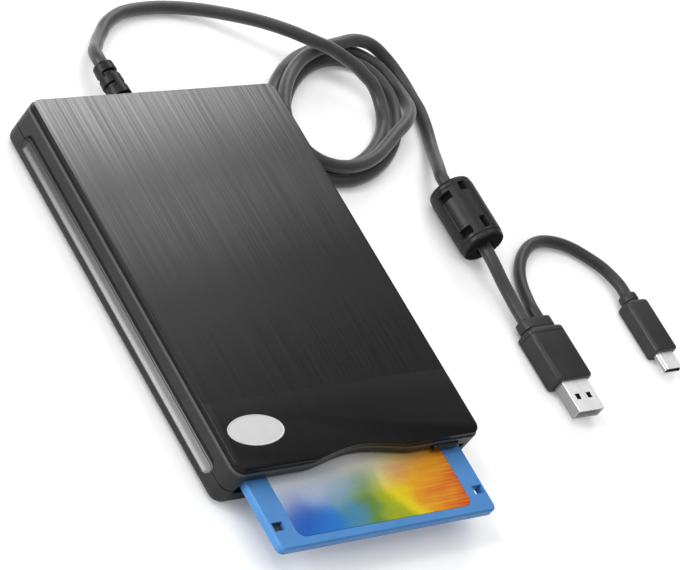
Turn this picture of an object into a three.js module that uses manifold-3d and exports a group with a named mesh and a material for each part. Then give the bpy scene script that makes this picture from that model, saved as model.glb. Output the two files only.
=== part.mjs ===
// External floppy disk drive with a disc half out of its slot, its lead and two plugs.
// Millimetres, +Z up, +Y to the back. The outer size follows from the disc and what stands round it.
import * as THREE from 'three';
import { mergeVertices } from 'three/addons/utils/BufferGeometryUtils.js';
import Module from 'manifold-3d';

const wasm = await Module();
wasm.setup();

// Fits that every piece shares
const fit = { run: 0.3, slide: 0.2, over: 1 };

// Floppy disc, 3.5 inch size
const disc = {
  width: 90, length: 94, thickness: 3.3, corner: 2.2, notch: 4, edge: 0.5, skin: 0.8,
  hubBack: 45, hubHole: 13.3, cavity: 43.4, windowHalf: 4.5, windowNear: 2, windowFar: 22.5,
  protrusion: 24, inset: 0.5,
};
const hub = { radius: 12.6, ring: 1.4, plate: 0.4, lift: 0.4, square: 2.1, slotNear: 7.2, slotFar: 10.4,
  slotHalf: 1.6 };
const medium = { radius: 42.9, thickness: 0.3 };
const shutter = {
  width: 30, depth: 26, sheet: 0.3, recess: 0.4, right: 19.3, travel: 12.1, windowHalf: 4.7,
    windowInset: 1.8, windowLength: 20.7,
};
const label = { halfWidth: 36.2, endGap: 3.1, length: 54, corner: 3, recess: 0.3 };
const protectHole = { width: 4.2, length: 3, fromSide: 3.2, fromEnd: 7.9 };
const protectTab = { margin: 0.2, length: 4.4, height: 1.2, pocket: 8.6, slotHalf: 1.3 };

// Levels of the mechanism, from the surface upwards
const level = { foot: 0.6, floor: 1.2, underDisc: 3.8, drop: 2, headroom: 2, roof: 1.2 };
const sheet = { chassis: 0.8, side: 0.7, holder: 0.6, channel: 0.5, ear: 0.6, flange: 0.4, cover: 0.35,
  lever: 0.6 };

// Casing
const casing = { wall: 2.4, corner: 4, footEdge: 2.4, seamAboveFloor: 5.95, seam: 0.3, lip: 5.5,
  slotSide: 1.2, slotTop: 0.9 };
const plate = { thickness: 1.8, inset: 0.5, edge: 0.4 };
const recess = { half: 22.5, depth: 3.1 };
const recessPowerShare = 1.5;
const groove = { height: 6.8, depth: 1.2, margin: 6.5 };
const badge = { along: 10.9, across: 5.4, thickness: 0.7, proud: 0.2, fromSide: 14.8, fromFront: 13.4 };
const foot = { radius: 4, recess: 0.5, fromSide: 10.6, fromEnd: 18, edge: 0.3 };
const screw = { boss: 3.2, topBoss: 2.8, head: 2, headHeight: 1.2, shank: 1, length: 10, inset: 5.6,
  sink: 1.6, cross: 0.25, crossDepth: 0.6 };

const crossArmShare = 0.6;
const prop = { radius: 1.3, fromFront: 20.25, fromBack: 4.8 };

// Loading gear
const eject = { travel: 4.5, railHalf: 2.3, barFront: 12, barLength: 5, armLength: 5.4, armInner: 31.5 };
const button = { left: 31.2, width: 10.6, height: 2, proud: 1, back: 5.7 };
const holder = { front: 10, back: 2.5, lip: 3.7, lipSheet: 0.5, earLeft: 26, earBack: 11.5, notchHalf: 9.5,
  notchReach: 25.5 };
const pin = { radius: 0.8, frontShare: 0.2083, backShare: 0.8665, out: 0.2 };
const lever = { tipX: 21, arm: 34, boss: 2.4, tip: 2, finger: 1.2, lead: 1.6, fingerReach: 3.7, shaft: 0.9,
  head: 2, headHeight: 0.3 };
const spring = { radius: 0.8, inboard: 5, lift: 1.8, anchorBack: 55, tabBack: 80, tab: 1 };

// Spindle
const motor = {
  board: 0.8, boardHalf: 30, boardFront: 27.5, boardBack: 22.5, rotor: 21, rim: 1.4, rimHeight: 1.5, top: 0.5,
  seat: 11, seatHeight: 0.3, tip: 1.9, tipHeight: 0.2, shaft: 1.5, bush: 3.9, bushHeight: 2.4, core: 7,
    tooth: 17.5,
  toothHalf: 0.9, lamination: 0.5, coilHalf: 1.9, coilNear: 9, coilFar: 15.5, coilHeight: 1.3,
    ringBite: 1.5, pinAt: 8.8, pinRadius: 1.2,
};
const motorTeeth = 9;

// Head carriage, its screw and its motor
const head = {
  outerTrack: 39.5, travel: 15, half: 1.5, width: 3.2, bodyHalf: 7, bodyLength: 11, bodyHeight: 6.2,
    bodyLift: 0.4,
  armHalf: 5.5, armLift: 1.6, armSheet: 1.8, gap: 0.1, lugOut: 5, lugLength: 9, lugHeight: 3.2, flag: 3.2,
    flagSheet: 0.5,
  flagLength: 2.4, earIn: 4.9, earOut: 6.6, earRadius: 1.8,
};
const upperArm = {
  half: 4.4, sheet: 0.5, rib: 0.5, knuckle: 1.6, bore: 1, pin: 0.8, hingeBack: 30, clear: 0.2, width: 2.8,
    reach: 2,
  crank: 14.5, slope: 1.5, rise: 0.9,
};
const rod = { x: 10, radius: 1, lift: 2.4, tab: 1, tabHalf: 1.7, tabRise: 1.1 };
const leadScrew = { x: -13, radius: 1.5, groove: 0.7, lead: 3.75, journal: 0.8, pin: 0.4, pinDepth: 0.35,
  lug: 4, lugHalf: 1 };
const stepper = { radius: 5, length: 12, gap: 2, bracket: 0.8, bracketHalf: 6, endGap: 1.8, socket: 3 };
const sensor = { gap: 1.2, width: 6.3, length: 4.5, height: 6, slotDepth: 3, slotUnder: 0.8, slotOver: 0.8 };
const microSwitch = { length: 4.5, width: 5, height: 2.8, inboard: 31, plunger: 0.7, back: 18.5 };

// Boards behind the disc
const board = { left: 22, right: 46, length: 31, thickness: 0.8, standoff: 0.8, post: 1.8, postInset: 2.6 };
const chip = { side: 9, height: 1.2, driveSide: 12, crystalLength: 8, crystalWidth: 3.4, crystalHeight: 2.6,
  socketWidth: 8, socketHeight: 4 };

// Lead: strain relief, coil, ferrite and plugs
const cord = { radius: 2.25, lift: 0.05, meet: 0.3, pigtail: 2.1, wires: 1.35, wiresStart: 4.05,
  wiresEnd: 5.4 };
const relief = {
  x: -5, flange: 4.4, flangeLength: 1.2, neck: 3.2, baseRadius: 4.2, tipRadius: 3.4, length: 18, rib: 0.7,
    ribLength: 2.9,
  ribGap: 1.9, tipEdge: 0.6,
};
const reliefRibs = 3;
const coil = { x: 87.2, y: 65, major: 26.8, minor: 14.8, pitch: 5.1, rise: 5.1, inward: 5.8 };
const coilTurnDegrees = 34;
const coilGrooveDegrees = 120;
const coilTurns = 3.1;
const coilSettleShares = [0, 0.2];
const coilClimbShares = [2.06, 2.26];
const coilDropShares = [2.86, 3.06];
const ferrite = {
  x: 110.4, back: 28, length: 24.8, radius: 7.8, edge: 1.2, slotDepth: 1, slotLength: 5.5, slotHalf: 0.9,
    slotInset: 5,
};
const ferriteSlotDegrees = 43.2;
const plugA = {
  x: 116, back: -25, neckHalf: 7, neckHeight: 6.4, neckLength: 4.4, bodyHalf: 8.1, bodyHeight: 8,
    bodyLength: 21.1, corner: 1.6,
  shellHalf: 6, shellHeight: 4.5, shellLength: 12, wall: 0.3, tongueHeight: 1.8, tongueInset: 1,
    window: 2.2, windowAt: 5.2,
  windowBack: 2.6, cordAt: 3.4,
};
const plugC = {
  x: 167, back: -19.9, neckHalf: 3.2, neckHeight: 5.4, neckLength: 3.6, bodyHalf: 5.3, bodyHeight: 6.4,
    bodyLength: 21, corner: 1.4,
  shellHalf: 4.15, shellHeight: 2.6, shellLength: 6.7, wall: 0.3, tongueHeight: 0.7, tongueInset: 0.8,
};

// Route of the lead, chosen by hand along the surface that the drive stands on
const leadRoute = [
  [-3.6, 94.6, 6.6], [0, 98.2, 4.9], [3.8, 101.9, 3.4], [7.6, 105.2, 2.5], [11.5, 108.7, 2.3], [16.1, 111.4,
    2.3],
  [21.6, 113.5, 2.3], [32.3, 114.8, 2.3], [42.8, 114.4, 2.5], [53.8, 111.3, 4.2], [63.3, 104.6, 8.3], [70,
    99.6, 10.7],
  [77.6, 94.4, 12], [85.6, 89.7, 11.9], [91.2, 87.2, 11.2], [95.6, 85.4, 9.9],
];
const runRoute = [
  [123.9, 57.5, 2.3], [121.6, 51.6, 2.5], [118.2, 45.6, 3.8], [114.6, 40, 5.8], [111.6, 35.4, 7.4],
];
const tailRoute = [[110.7, -3.5, 7.2], [111.5, -9.5, 5.7], [112.3, -15.5, 4.5]];
const pigtailRoute = [
  [120.6, -16.4, 3.4], [123.1, -9.6, 2.6], [126.6, -3.7, 2.3], [131.5, 1.5, 2.3], [137.5, 5.1, 2.3], [143.8,
    6.5, 2.3],
  [150.1, 5.5, 2.3], [156, 2.6, 2.3], [161.2, -2.4, 2.4], [164.8, -7.6, 2.7],
];

// Levels worked out from the sizes above
const floorTop = level.foot + level.floor;
const baseTop = floorTop + sheet.chassis;
const seatedUnder = baseTop + level.underDisc;
const raisedUnder = seatedUnder + level.drop;
const raisedTop = raisedUnder + disc.thickness;
const discMiddle = raisedUnder + disc.thickness / 2;
const holderUnder = raisedTop + fit.run;
const holderTop = holderUnder + sheet.holder;
const innerTop = holderTop + level.headroom;
const coverTop = innerTop + level.roof;
const plateTop = coverTop + plate.thickness;
const seam = floorTop + casing.seamAboveFloor;
const slotTop = raisedTop + casing.slotTop;
const slotBottom = seatedUnder - fit.run;
const leverUnder = holderTop + fit.run;

// Half widths, from the disc outwards
const channelIn = disc.width / 2 + fit.slide;
const channelOut = channelIn + sheet.channel;
const earIn = channelOut + fit.run;
const earOut = earIn + sheet.ear;
const sideIn = earOut + fit.run;
const sideOut = sideIn + sheet.side;
const flangeIn = sideOut + fit.run;
const flangeOut = flangeIn + sheet.flange;
const caseIn = flangeOut + fit.run;
const caseHalf = caseIn + casing.wall;

// Places along the drive, counted back from the front face
const discTravel = disc.protrusion + disc.inset;
const seatedLead = disc.inset + disc.length;
const bodyFront = seatedLead + fit.run * 2 + head.travel;
const bracketFront = bodyFront + head.bodyLength + stepper.gap;
const stepperFront = bracketFront + stepper.bracket;
const innerBack = stepperFront + stepper.length + stepper.endGap;
const caseLength = innerBack + casing.wall;
const front = -caseLength / 2;
const at = (distance) => front + distance;
const leadRest = at(seatedLead - discTravel);
const leadSeated = at(seatedLead);
const hubSeated = leadSeated - disc.hubBack;
const trackZero = hubSeated + head.outerTrack;
const hingeY = trackZero + upperArm.hingeBack;
const baseShift = disc.protrusion / 2;

// Finishes
const finish = (color, roughness, metalness = 0) => new THREE.MeshStandardMaterial({ color, roughness,
  metalness });
const finishes = {
  casing: finish(0x2b2b2d, 0.6),
  panel: finish(0x37383a, 0.42, 0.3),
  badge: finish(0xd4d5d6, 0.3, 0.6),
  rubber: finish(0x18181a, 0.9),
  steel: finish(0xb9bcc0, 0.32, 0.95),
  sheet: finish(0x9da2a6, 0.4, 0.9),
  button: finish(0x232325, 0.5),
  blue: finish(0x4d94d6, 0.45),
  paper: finish(0xb9c7d2, 0.35),
  shutter: finish(0xc9ccd0, 0.35, 0.9),
  film: finish(0x2a1d17, 0.3),
  board: finish(0x1f5a36, 0.55),
  chip: finish(0x17181a, 0.5),
  copper: finish(0xb5672f, 0.4, 0.9),
  brass: finish(0xb99a4a, 0.4, 0.9),
  head: finish(0x8d8f93, 0.5),
  cord: finish(0x2d2d2f, 0.7),
  overmould: finish(0x161617, 0.55),
  tongue: finish(0xe9e9ea, 0.5),
};

// Solids: closed meshes that can be joined and cut
function solidOf(geometry) {
  const bare = geometry.clone();
  bare.deleteAttribute('normal');
  bare.deleteAttribute('uv');
  const merged = mergeVertices(bare);
  const corners = merged.getAttribute('position').array;
  const index = merged.index.array;
  const kept = [];
  for (let i = 0; i < index.length; i += 3) {
    const [a, b, c] = [index[i], index[i + 1], index[i + 2]];
    if (a !== b && b !== c && c !== a) kept.push(a, b, c);
  }
  const made = new wasm.Mesh({
    numProp: 3,
    vertProperties: new Float32Array(corners),
    triVerts: new Uint32Array(signedVolume(corners, kept) < 0 ? kept.reverse() : kept),
  });
  return new wasm.Manifold(made);
}

function signedVolume(corners, index) {
  const [a, b, c] = [new THREE.Vector3(), new THREE.Vector3(), new THREE.Vector3()];
  let sum = 0;
  for (let i = 0; i < index.length; i += 3) {
    a.fromArray(corners, 3 * index[i]);
    b.fromArray(corners, 3 * index[i + 1]);
    c.fromArray(corners, 3 * index[i + 2]);
    sum += a.dot(b.cross(c));
  }
  return sum;
}

function join(first, ...rest) {
  return rest.reduce((whole, piece) => whole.add(piece), first);
}

function cut(first, ...rest) {
  return rest.reduce((whole, piece) => whole.subtract(piece), first);
}

function meshOf(name, solid, material, angleX = 0, pivot = new THREE.Vector3()) {
  const { vertProperties, triVerts } = solid.getMesh();
  const geometry = new THREE.BufferGeometry();
  geometry.setAttribute('position', new THREE.BufferAttribute(new Float32Array(vertProperties), 3));
  geometry.setIndex(new THREE.BufferAttribute(new Uint32Array(triVerts), 1));
  geometry.translate(-pivot.x, -pivot.y, -pivot.z);
  const flat = geometry.toNonIndexed();
  flat.computeVertexNormals();
  const mesh = new THREE.Mesh(flat, material);
  mesh.name = name;
  mesh.position.copy(pivot);
  mesh.rotation.x = angleX;
  return mesh;
}

// Basic forms between stated limits
function block([x0, x1], [y0, y1], [z0, z1]) {
  const geometry = new THREE.BoxGeometry(x1 - x0, y1 - y0, z1 - z0);
  geometry.translate((x0 + x1) / 2, (y0 + y1) / 2, (z0 + z1) / 2);
  return solidOf(geometry);
}

function upright(shape, [z0, z1], steps = 5) {
  const geometry = new THREE.ExtrudeGeometry(shape, { depth: z1 - z0, bevelEnabled: false,
    curveSegments: steps });
  return solidOf(geometry.translate(0, 0, z0));
}

// An upright form whose top and bottom edges are rounded or chamfered
function softened(shape, [z0, z1], edge, edgeSteps = 1, steps = 5) {
  const geometry = new THREE.ExtrudeGeometry(shape, {
    depth: z1 - z0 - 2 * edge, bevelThickness: edge, bevelSize: edge, bevelOffset: -edge,
      bevelSegments: edgeSteps,
    curveSegments: steps,
  });
  return solidOf(geometry.translate(0, 0, z0 + edge));
}

// A shape drawn in (y, z), extruded along X
function sideways(shape, [x0, x1], steps = 5) {
  const geometry = new THREE.ExtrudeGeometry(shape, { depth: x1 - x0, bevelEnabled: false,
    curveSegments: steps });
  const turn = new THREE.Matrix4().makeBasis(
    new THREE.Vector3(0, 1, 0), new THREE.Vector3(0, 0, 1), new THREE.Vector3(1, 0, 0),
  );
  return solidOf(geometry.applyMatrix4(turn).translate(x0, 0, 0));
}

// A shape drawn in (x, z), extruded along Y, with its edges softened if asked
function lengthways(shape, [y0, y1], edge = 0, steps = 5) {
  const geometry = new THREE.ExtrudeGeometry(shape, {
    depth: y1 - y0 - 2 * edge, bevelEnabled: edge > 0, bevelThickness: edge, bevelSize: edge,
      bevelOffset: -edge,
    bevelSegments: 2, curveSegments: steps,
  });
  return solidOf(geometry.rotateX(Math.PI / 2).translate(0, y1 - edge, 0));
}

// Profile points are [radius, height]; the axis is upright or lies along Y
function turned(profile, x, y, sides = 24) {
  const points = profile.map(([radius, height]) => new THREE.Vector2(radius, height));
  const geometry = new THREE.LatheGeometry(points, sides);
  return solidOf(geometry.rotateX(Math.PI / 2).translate(x, y, 0));
}

function turnedLengthways(profile, x, z, sides = 24) {
  const points = profile.map(([radius, height]) => new THREE.Vector2(radius, height));
  return solidOf(new THREE.LatheGeometry(points, sides).translate(x, 0, z));
}

function cylinderProfile(radius, [from, to]) {
  return [[0, from], [radius, from], [radius, to], [0, to]];
}

function post(radius, x, y, heights, sides = 16) {
  return turned(cylinderProfile(radius, heights), x, y, sides);
}

function shaft(radius, x, z, span, sides = 16) {
  return turnedLengthways(cylinderProfile(radius, span), x, z, sides);
}

function crossPin(radius, y, z, [x0, x1], sides = 12) {
  const round = new THREE.Shape().absarc(y, z, radius, 0, 2 * Math.PI);
  return sideways(round, [x0, x1], sides);
}

function roundedShape(halfX, halfY, radius, x = 0, y = 0) {
  const r = Math.min(radius, halfX, halfY);
  const shape = new THREE.Shape();
  shape.absarc(x + halfX - r, y - halfY + r, r, -Math.PI / 2, 0);
  shape.absarc(x + halfX - r, y + halfY - r, r, 0, Math.PI / 2);
  shape.absarc(x - halfX + r, y + halfY - r, r, Math.PI / 2, Math.PI);
  shape.absarc(x - halfX + r, y - halfY + r, r, Math.PI, 1.5 * Math.PI);
  return shape;
}

function capsuleShape(x0, y0, x1, y1, r0, r1 = r0) {
  const along = Math.atan2(y1 - y0, x1 - x0);
  const shape = new THREE.Shape();
  shape.absarc(x1, y1, r1, along - Math.PI / 2, along + Math.PI / 2);
  shape.absarc(x0, y0, r0, along + Math.PI / 2, along + 1.5 * Math.PI);
  return shape;
}

function bothSides(make) {
  return [-1, 1].map(make);
}

const span = (a, b) => [Math.min(a, b), Math.max(a, b)];

// Finger recess of the front edge, a smooth arch in plan
const recessDepth = (x) => recess.depth * Math.cos((Math.PI * x) / (2 * recess.half)) ** recessPowerShare;

function recessCurve(steps = 16) {
  return Array.from({ length: steps + 1 }, (_, i) => {
    const x = -recess.half + (2 * recess.half * i) / steps;
    return new THREE.Vector2(x, i % steps ? front + recessDepth(x) : front);
  });
}

function recessTool(heights) {
  const outline = recessCurve();
  const shape = new THREE.Shape(outline);
  shape.lineTo(recess.half, front - fit.over);
  shape.lineTo(-recess.half, front - fit.over);
  return upright(shape, heights);
}

// Casing shells
function casingBlock() {
  const outline = roundedShape(caseHalf, caseLength / 2, casing.corner);
  return softened(outline, [level.foot, plateTop + casing.footEdge], casing.footEdge, 3);
}

function casingCavity(heights) {
  const inner = roundedShape(caseIn, caseLength / 2 - casing.wall, casing.corner - casing.wall);
  return upright(inner, heights);
}

function grooveTools() {
  const radius = (groove.height ** 2 / 4 + groove.depth ** 2) / (2 * groove.depth);
  const half = caseLength / 2 - groove.margin - groove.height / 2;
  const steps = 5;
  const cap = Array.from({ length: steps + 1 }, (_, i) => {
    const angle = (Math.PI / 2) * (1 - i / steps);
    return [i ? radius * Math.cos(angle) : 0, half + (groove.height / 2) * Math.sin(angle)];
  });
  const profile = [...cap.map(([r, h]) => [r, -h]), ...cap.reverse()];
  return bothSides((side) => turnedLengthways(profile, side * (caseHalf + radius - groove.depth), seam, 32));
}

function glandTool() {
  return shaft(relief.neck + fit.run, relief.x, seam, [at(innerBack) - fit.over, at(caseLength) + fit.over],
    20);
}

const screwPlaces = bothSides((side) => [side * (caseIn - screw.inset), at(innerBack) - screw.inset]);

function makeBottomCover() {
  const top = seam - casing.seam / 2;
  const slotHalf = disc.width / 2 + casing.slotSide;
  let shell = cut(
    casingBlock(),
    block([-caseHalf - fit.over, caseHalf + fit.over], [front - fit.over, -front + fit.over], [top,
      plateTop + casing.wall + fit.over]),
    casingCavity([floorTop, top + fit.over]),
    block([-slotHalf, slotHalf], [front - fit.over, at(casing.wall) + fit.over], [slotBottom,
      top + fit.over]),
  );
  for (const [x, y] of screwPlaces) {
    shell = join(shell, post(screw.boss, x, y, [floorTop - level.floor / 2, top]));
    shell = cut(
      shell,
      post(screw.shank + fit.run, x, y, [level.foot - fit.over, top + fit.over]),
      post(screw.head + fit.run, x, y, [level.foot - fit.over, level.foot + screw.sink]),
    );
  }
  for (const [x, y] of footPlaces()) {
    shell = cut(shell, post(foot.radius + fit.run, x, y, [level.foot - fit.over, level.foot + foot.recess],
      20));
  }
  return cut(shell, ...grooveTools(), glandTool());
}

function makeTopCover() {
  const bottom = seam + casing.seam / 2;
  const slotHalf = disc.width / 2 + casing.slotSide;
  const far = [front - fit.over, -front + fit.over];
  const lip = block([-caseHalf, caseHalf], [front, at(casing.lip)], [slotTop, coverTop]);
  const hollow = cut(casingCavity([bottom - fit.over, innerTop]), lip);
  let shell = cut(
    casingBlock(),
    block([-caseHalf - fit.over, caseHalf + fit.over], far, [level.foot - fit.over, bottom]),
    block([-caseHalf - fit.over, caseHalf + fit.over], far, [coverTop, plateTop + casing.wall + fit.over]),
    hollow,
    block([-slotHalf, slotHalf], [front - fit.over, at(casing.wall) + fit.over], [bottom - fit.over,
      slotTop]),
    recessTool([slotTop - fit.over, coverTop + fit.over]),
    buttonNotch(),
  );
  for (const [x, y] of screwPlaces) {
    shell = join(shell, post(screw.topBoss, x, y, [bottom, innerTop + level.roof / 2]));
    shell = cut(shell, post(screw.shank + fit.run, x, y, [bottom - fit.over,
      level.foot + screw.sink + screw.length + fit.run]));
  }
  return cut(shell, ...grooveTools(), glandTool());
}

function makeTopPlate() {
  const outline = roundedShape(caseHalf - plate.inset, caseLength / 2 - plate.inset,
    casing.corner - plate.inset);
  const slab = cut(
    softened(outline, [coverTop - plate.thickness, plateTop], plate.edge, 2),
    block([-caseHalf, caseHalf], [front, -front], [coverTop - plate.thickness - fit.over, coverTop]),
    recessTool([coverTop - fit.over, plateTop + fit.over]),
  );
  return cut(slab, upright(badgeShape(fit.run / 3), [plateTop + badge.proud - badge.thickness,
    plateTop + fit.over], 12));
}

function badgeShape(grow = 0) {
  const shape = new THREE.Shape();
  const x = -caseHalf + badge.fromSide;
  const y = at(badge.fromFront);
  return shape.absellipse(x, y, badge.along + grow, badge.across + grow, 0, 2 * Math.PI);
}

function makeBadge() {
  const top = plateTop + badge.proud;
  return softened(badgeShape(), [top - badge.thickness, top], badge.proud / 2, 1, 12);
}

function footPlaces() {
  return bothSides((x) => bothSides((y) => [x * (caseIn - foot.fromSide),
    y * (caseLength / 2 - foot.fromEnd)])).flat();
}

function makeFoot([x, y]) {
  const top = level.foot + foot.recess;
  return turned([[0, 0], [foot.radius - foot.edge, 0], [foot.radius, foot.edge], [foot.radius, top], [0,
    top]], x, y, 20);
}

function makeCaseScrew([x, y]) {
  const shoulder = level.foot + screw.sink;
  const under = shoulder - screw.headHeight;
  const arm = screw.head * crossArmShare;
  const body = turned([
    [0, under], [screw.head - screw.cross, under], [screw.head, under + screw.cross], [screw.head, shoulder],
    [screw.shank, shoulder], [screw.shank, shoulder + screw.length - screw.shank], [0,
      shoulder + screw.length],
  ], x, y, 16);
  return cut(
    body,
    block([x - arm, x + arm], [y - screw.cross, y + screw.cross], [under - fit.over,
      under + screw.crossDepth]),
    block([x - screw.cross, x + screw.cross], [y - arm, y + arm], [under - fit.over,
      under + screw.crossDepth]),
  );
}

// Chassis: the tray that carries the mechanism
const pinPlaces = [pin.frontShare, pin.backShare].map((share) => at(seatedLead * share));
const springX = disc.width / 2 - spring.inboard;
const rodZ = baseTop + rod.lift;
const screwZ = baseTop + fit.run + stepper.radius;

function makeChassis() {
  const sideTop = holderTop + fit.run + fit.slide;
  const baseBack = at(innerBack) - screw.inset - screw.boss - 2 * fit.run;
  const guideBottom = discMiddle - level.drop - pin.radius - fit.run;
  let tray = join(
    block([-sideOut, sideOut], [at(eject.barFront - eject.barLength), baseBack], [floorTop, baseTop]),
    block(
      [leadScrew.x - stepper.bracketHalf, rod.x + rod.tabHalf + fit.over],
      [baseBack - fit.over, at(stepperFront + stepper.length)], [floorTop, baseTop],
    ),
  );
  for (const side of [-1, 1]) {
    const wall = block(span(side * sideIn, side * sideOut), [at(holder.front), leadSeated + lever.boss],
      [baseTop - fit.slide, sideTop]);
    const guides = pinPlaces.map((y) => block(
      span(side * (sideIn - fit.over), side * (sideOut + fit.over)),
      [y - pin.radius - fit.run, y + pin.radius + fit.run], [guideBottom, sideTop + fit.over],
    ));
    tray = join(tray, cut(wall, ...guides));
    for (const y of [at(prop.fromFront), leadSeated - prop.fromBack]) {
      tray = join(tray, post(prop.radius, side * springX, y, [baseTop - fit.slide, seatedUnder - fit.slide],
        12));
    }
    tray = join(tray, block(
      [side * springX - spring.tab, side * springX + spring.tab],
      [at(spring.anchorBack), at(spring.anchorBack + spring.tab)], [baseTop - fit.slide,
        baseTop + spring.lift + spring.tab],
    ));
  }
  const screwTop = screwZ + leadScrew.radius + fit.over;
  const frontBracket = cut(
    block(
      [leadScrew.x - 2 * leadScrew.radius, leadScrew.x + 2 * leadScrew.radius],
      [leadSeated + leadScrew.radius, leadSeated + leadScrew.radius + rod.tab], [baseTop - fit.slide,
        screwTop],
    ),
    shaft(leadScrew.journal + fit.run, leadScrew.x, screwZ, [leadSeated,
      leadSeated + 2 * leadScrew.radius + rod.tab]),
  );
  const backBracket = cut(
    block(
      [leadScrew.x - stepper.bracketHalf, leadScrew.x + stepper.bracketHalf],
      [at(bracketFront), at(stepperFront)], [baseTop - fit.slide, screwZ + stepper.radius],
    ),
    shaft(leadScrew.radius + fit.run, leadScrew.x, screwZ, [at(bracketFront) - fit.over,
      at(stepperFront) + fit.over]),
  );
  const rodTabs = [leadSeated - 2 * rod.tab, at(bracketFront)].map((y) => cut(
    block([rod.x - rod.tabHalf, rod.x + rod.tabHalf], [y, y + rod.tab], [baseTop - fit.slide,
      rodZ + rod.tabRise]),
    shaft(rod.radius + fit.slide / 2, rod.x, rodZ, [y - fit.over, y + rod.tab + fit.over]),
  ));
  const standoffs = boardPosts().map(([x, y]) => post(board.post, x, y, [baseTop - fit.slide,
    baseTop + board.standoff], 12));
  return join(tray, frontBracket, backBracket, ...rodTabs, ...standoffs);
}

function makeMechanismCover() {
  const under = innerTop - sheet.cover;
  const slab = cut(
    block([-flangeOut, flangeOut], [at(eject.barFront), at(bracketFront) + stepper.gap], [under, innerTop]),
    block(
      [-head.bodyHalf - fit.over, head.bodyHalf + fit.over],
      [trackZero - head.travel - 2 * upperArm.reach, hingeY + head.earRadius + fit.over], [under - fit.over,
        innerTop + fit.over],
    ),
  );
  const flanges = bothSides((side) => block(
    span(side * flangeIn, side * flangeOut),
    [at(eject.barFront + eject.barLength), hingeY], [discMiddle, innerTop - sheet.cover / 2],
  ));
  return join(slab, ...flanges);
}

// Eject slide: a U of sheet with two cam ears and an arm to the button
const ejectUnder = baseTop + fit.run;
const ejectBack = leadSeated - holder.back;
const armUnder = holderTop + fit.run;
const armBack = at(casing.lip + eject.travel + fit.run + eject.armLength);

function makeEjectSlide() {
  const earTop = armUnder + sheet.ear;
  const rails = bothSides((side) => block(
    span(side * (earOut - 2 * eject.railHalf), side * earOut), [at(eject.barFront), ejectBack], [ejectUnder,
      ejectUnder + sheet.ear],
  ));
  const ears = bothSides((side) => {
    const slots = pinPlaces.map((y) => sideways(
      capsuleShape(y, discMiddle, y + eject.travel, discMiddle - level.drop,
        pin.radius + fit.slide + fit.slide / 4),
      span(side * (earIn - fit.over), side * (earOut + fit.over)), 6,
    ));
    return cut(block(span(side * earIn, side * earOut), [at(eject.barFront), ejectBack], [ejectUnder,
      earTop]), ...slots);
  });
  const bar = block([-earOut, earOut], [at(eject.barFront), at(eject.barFront + eject.barLength)],
    [ejectUnder, ejectUnder + sheet.ear]);
  const tabs = bothSides((side) => block(
    span(side * (springX - spring.tab), side * (earOut - eject.railHalf)),
    [at(spring.tabBack), at(spring.tabBack + spring.tab)], [ejectUnder, baseTop + spring.lift + spring.tab],
  ));
  const arm = join(
    block([eject.armInner, earOut], [armBack - eject.armLength, armBack], [armUnder, earTop]),
    block([button.left + fit.run * 2, button.left + button.width - fit.run * 2],
      [at(button.back + fit.run), armBack], [armUnder, earTop]),
  );
  return join(bar, ...rails, ...ears, ...tabs, arm);
}

function buttonNotch() {
  return block(
    [button.left - fit.run, button.left + button.width + fit.run], [front - fit.over,
      at(casing.lip) + fit.over],
    [slotTop - fit.over, slotTop + fit.slide / 2 + button.height + fit.run],
  );
}

function makeEjectButton() {
  const shape = roundedShape(
    button.width / 2, button.height / 2, button.height / 4, button.left + button.width / 2,
      slotTop + fit.slide / 2 + button.height / 2,
  );
  return lengthways(shape, [at(-button.proud), at(button.back)], button.height / 10, 3);
}

function makeSpring(side) {
  return shaft(
    spring.radius, side * springX, baseTop + spring.lift,
    [at(spring.anchorBack + spring.tab) + fit.run, at(spring.tabBack) - fit.run], 10,
  );
}

// Disc holder, which rides on four pins in the cam slots
function leverPlaces() {
  const tipY = leadRest + lever.finger + lever.lead;
  const rest = new THREE.Vector2(lever.tipX, tipY);
  const open = new THREE.Vector2(lever.tipX - shutter.travel, tipY + discTravel);
  const chord = open.clone().sub(rest);
  const reach = Math.sqrt(lever.arm ** 2 - chord.lengthSq() / 4);
  const across = new THREE.Vector2(chord.y, -chord.x).normalize();
  const pivot = rest.clone().add(open).multiplyScalar(0.5).addScaledVector(across, reach);
  return { rest, open, pivot };
}

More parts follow.
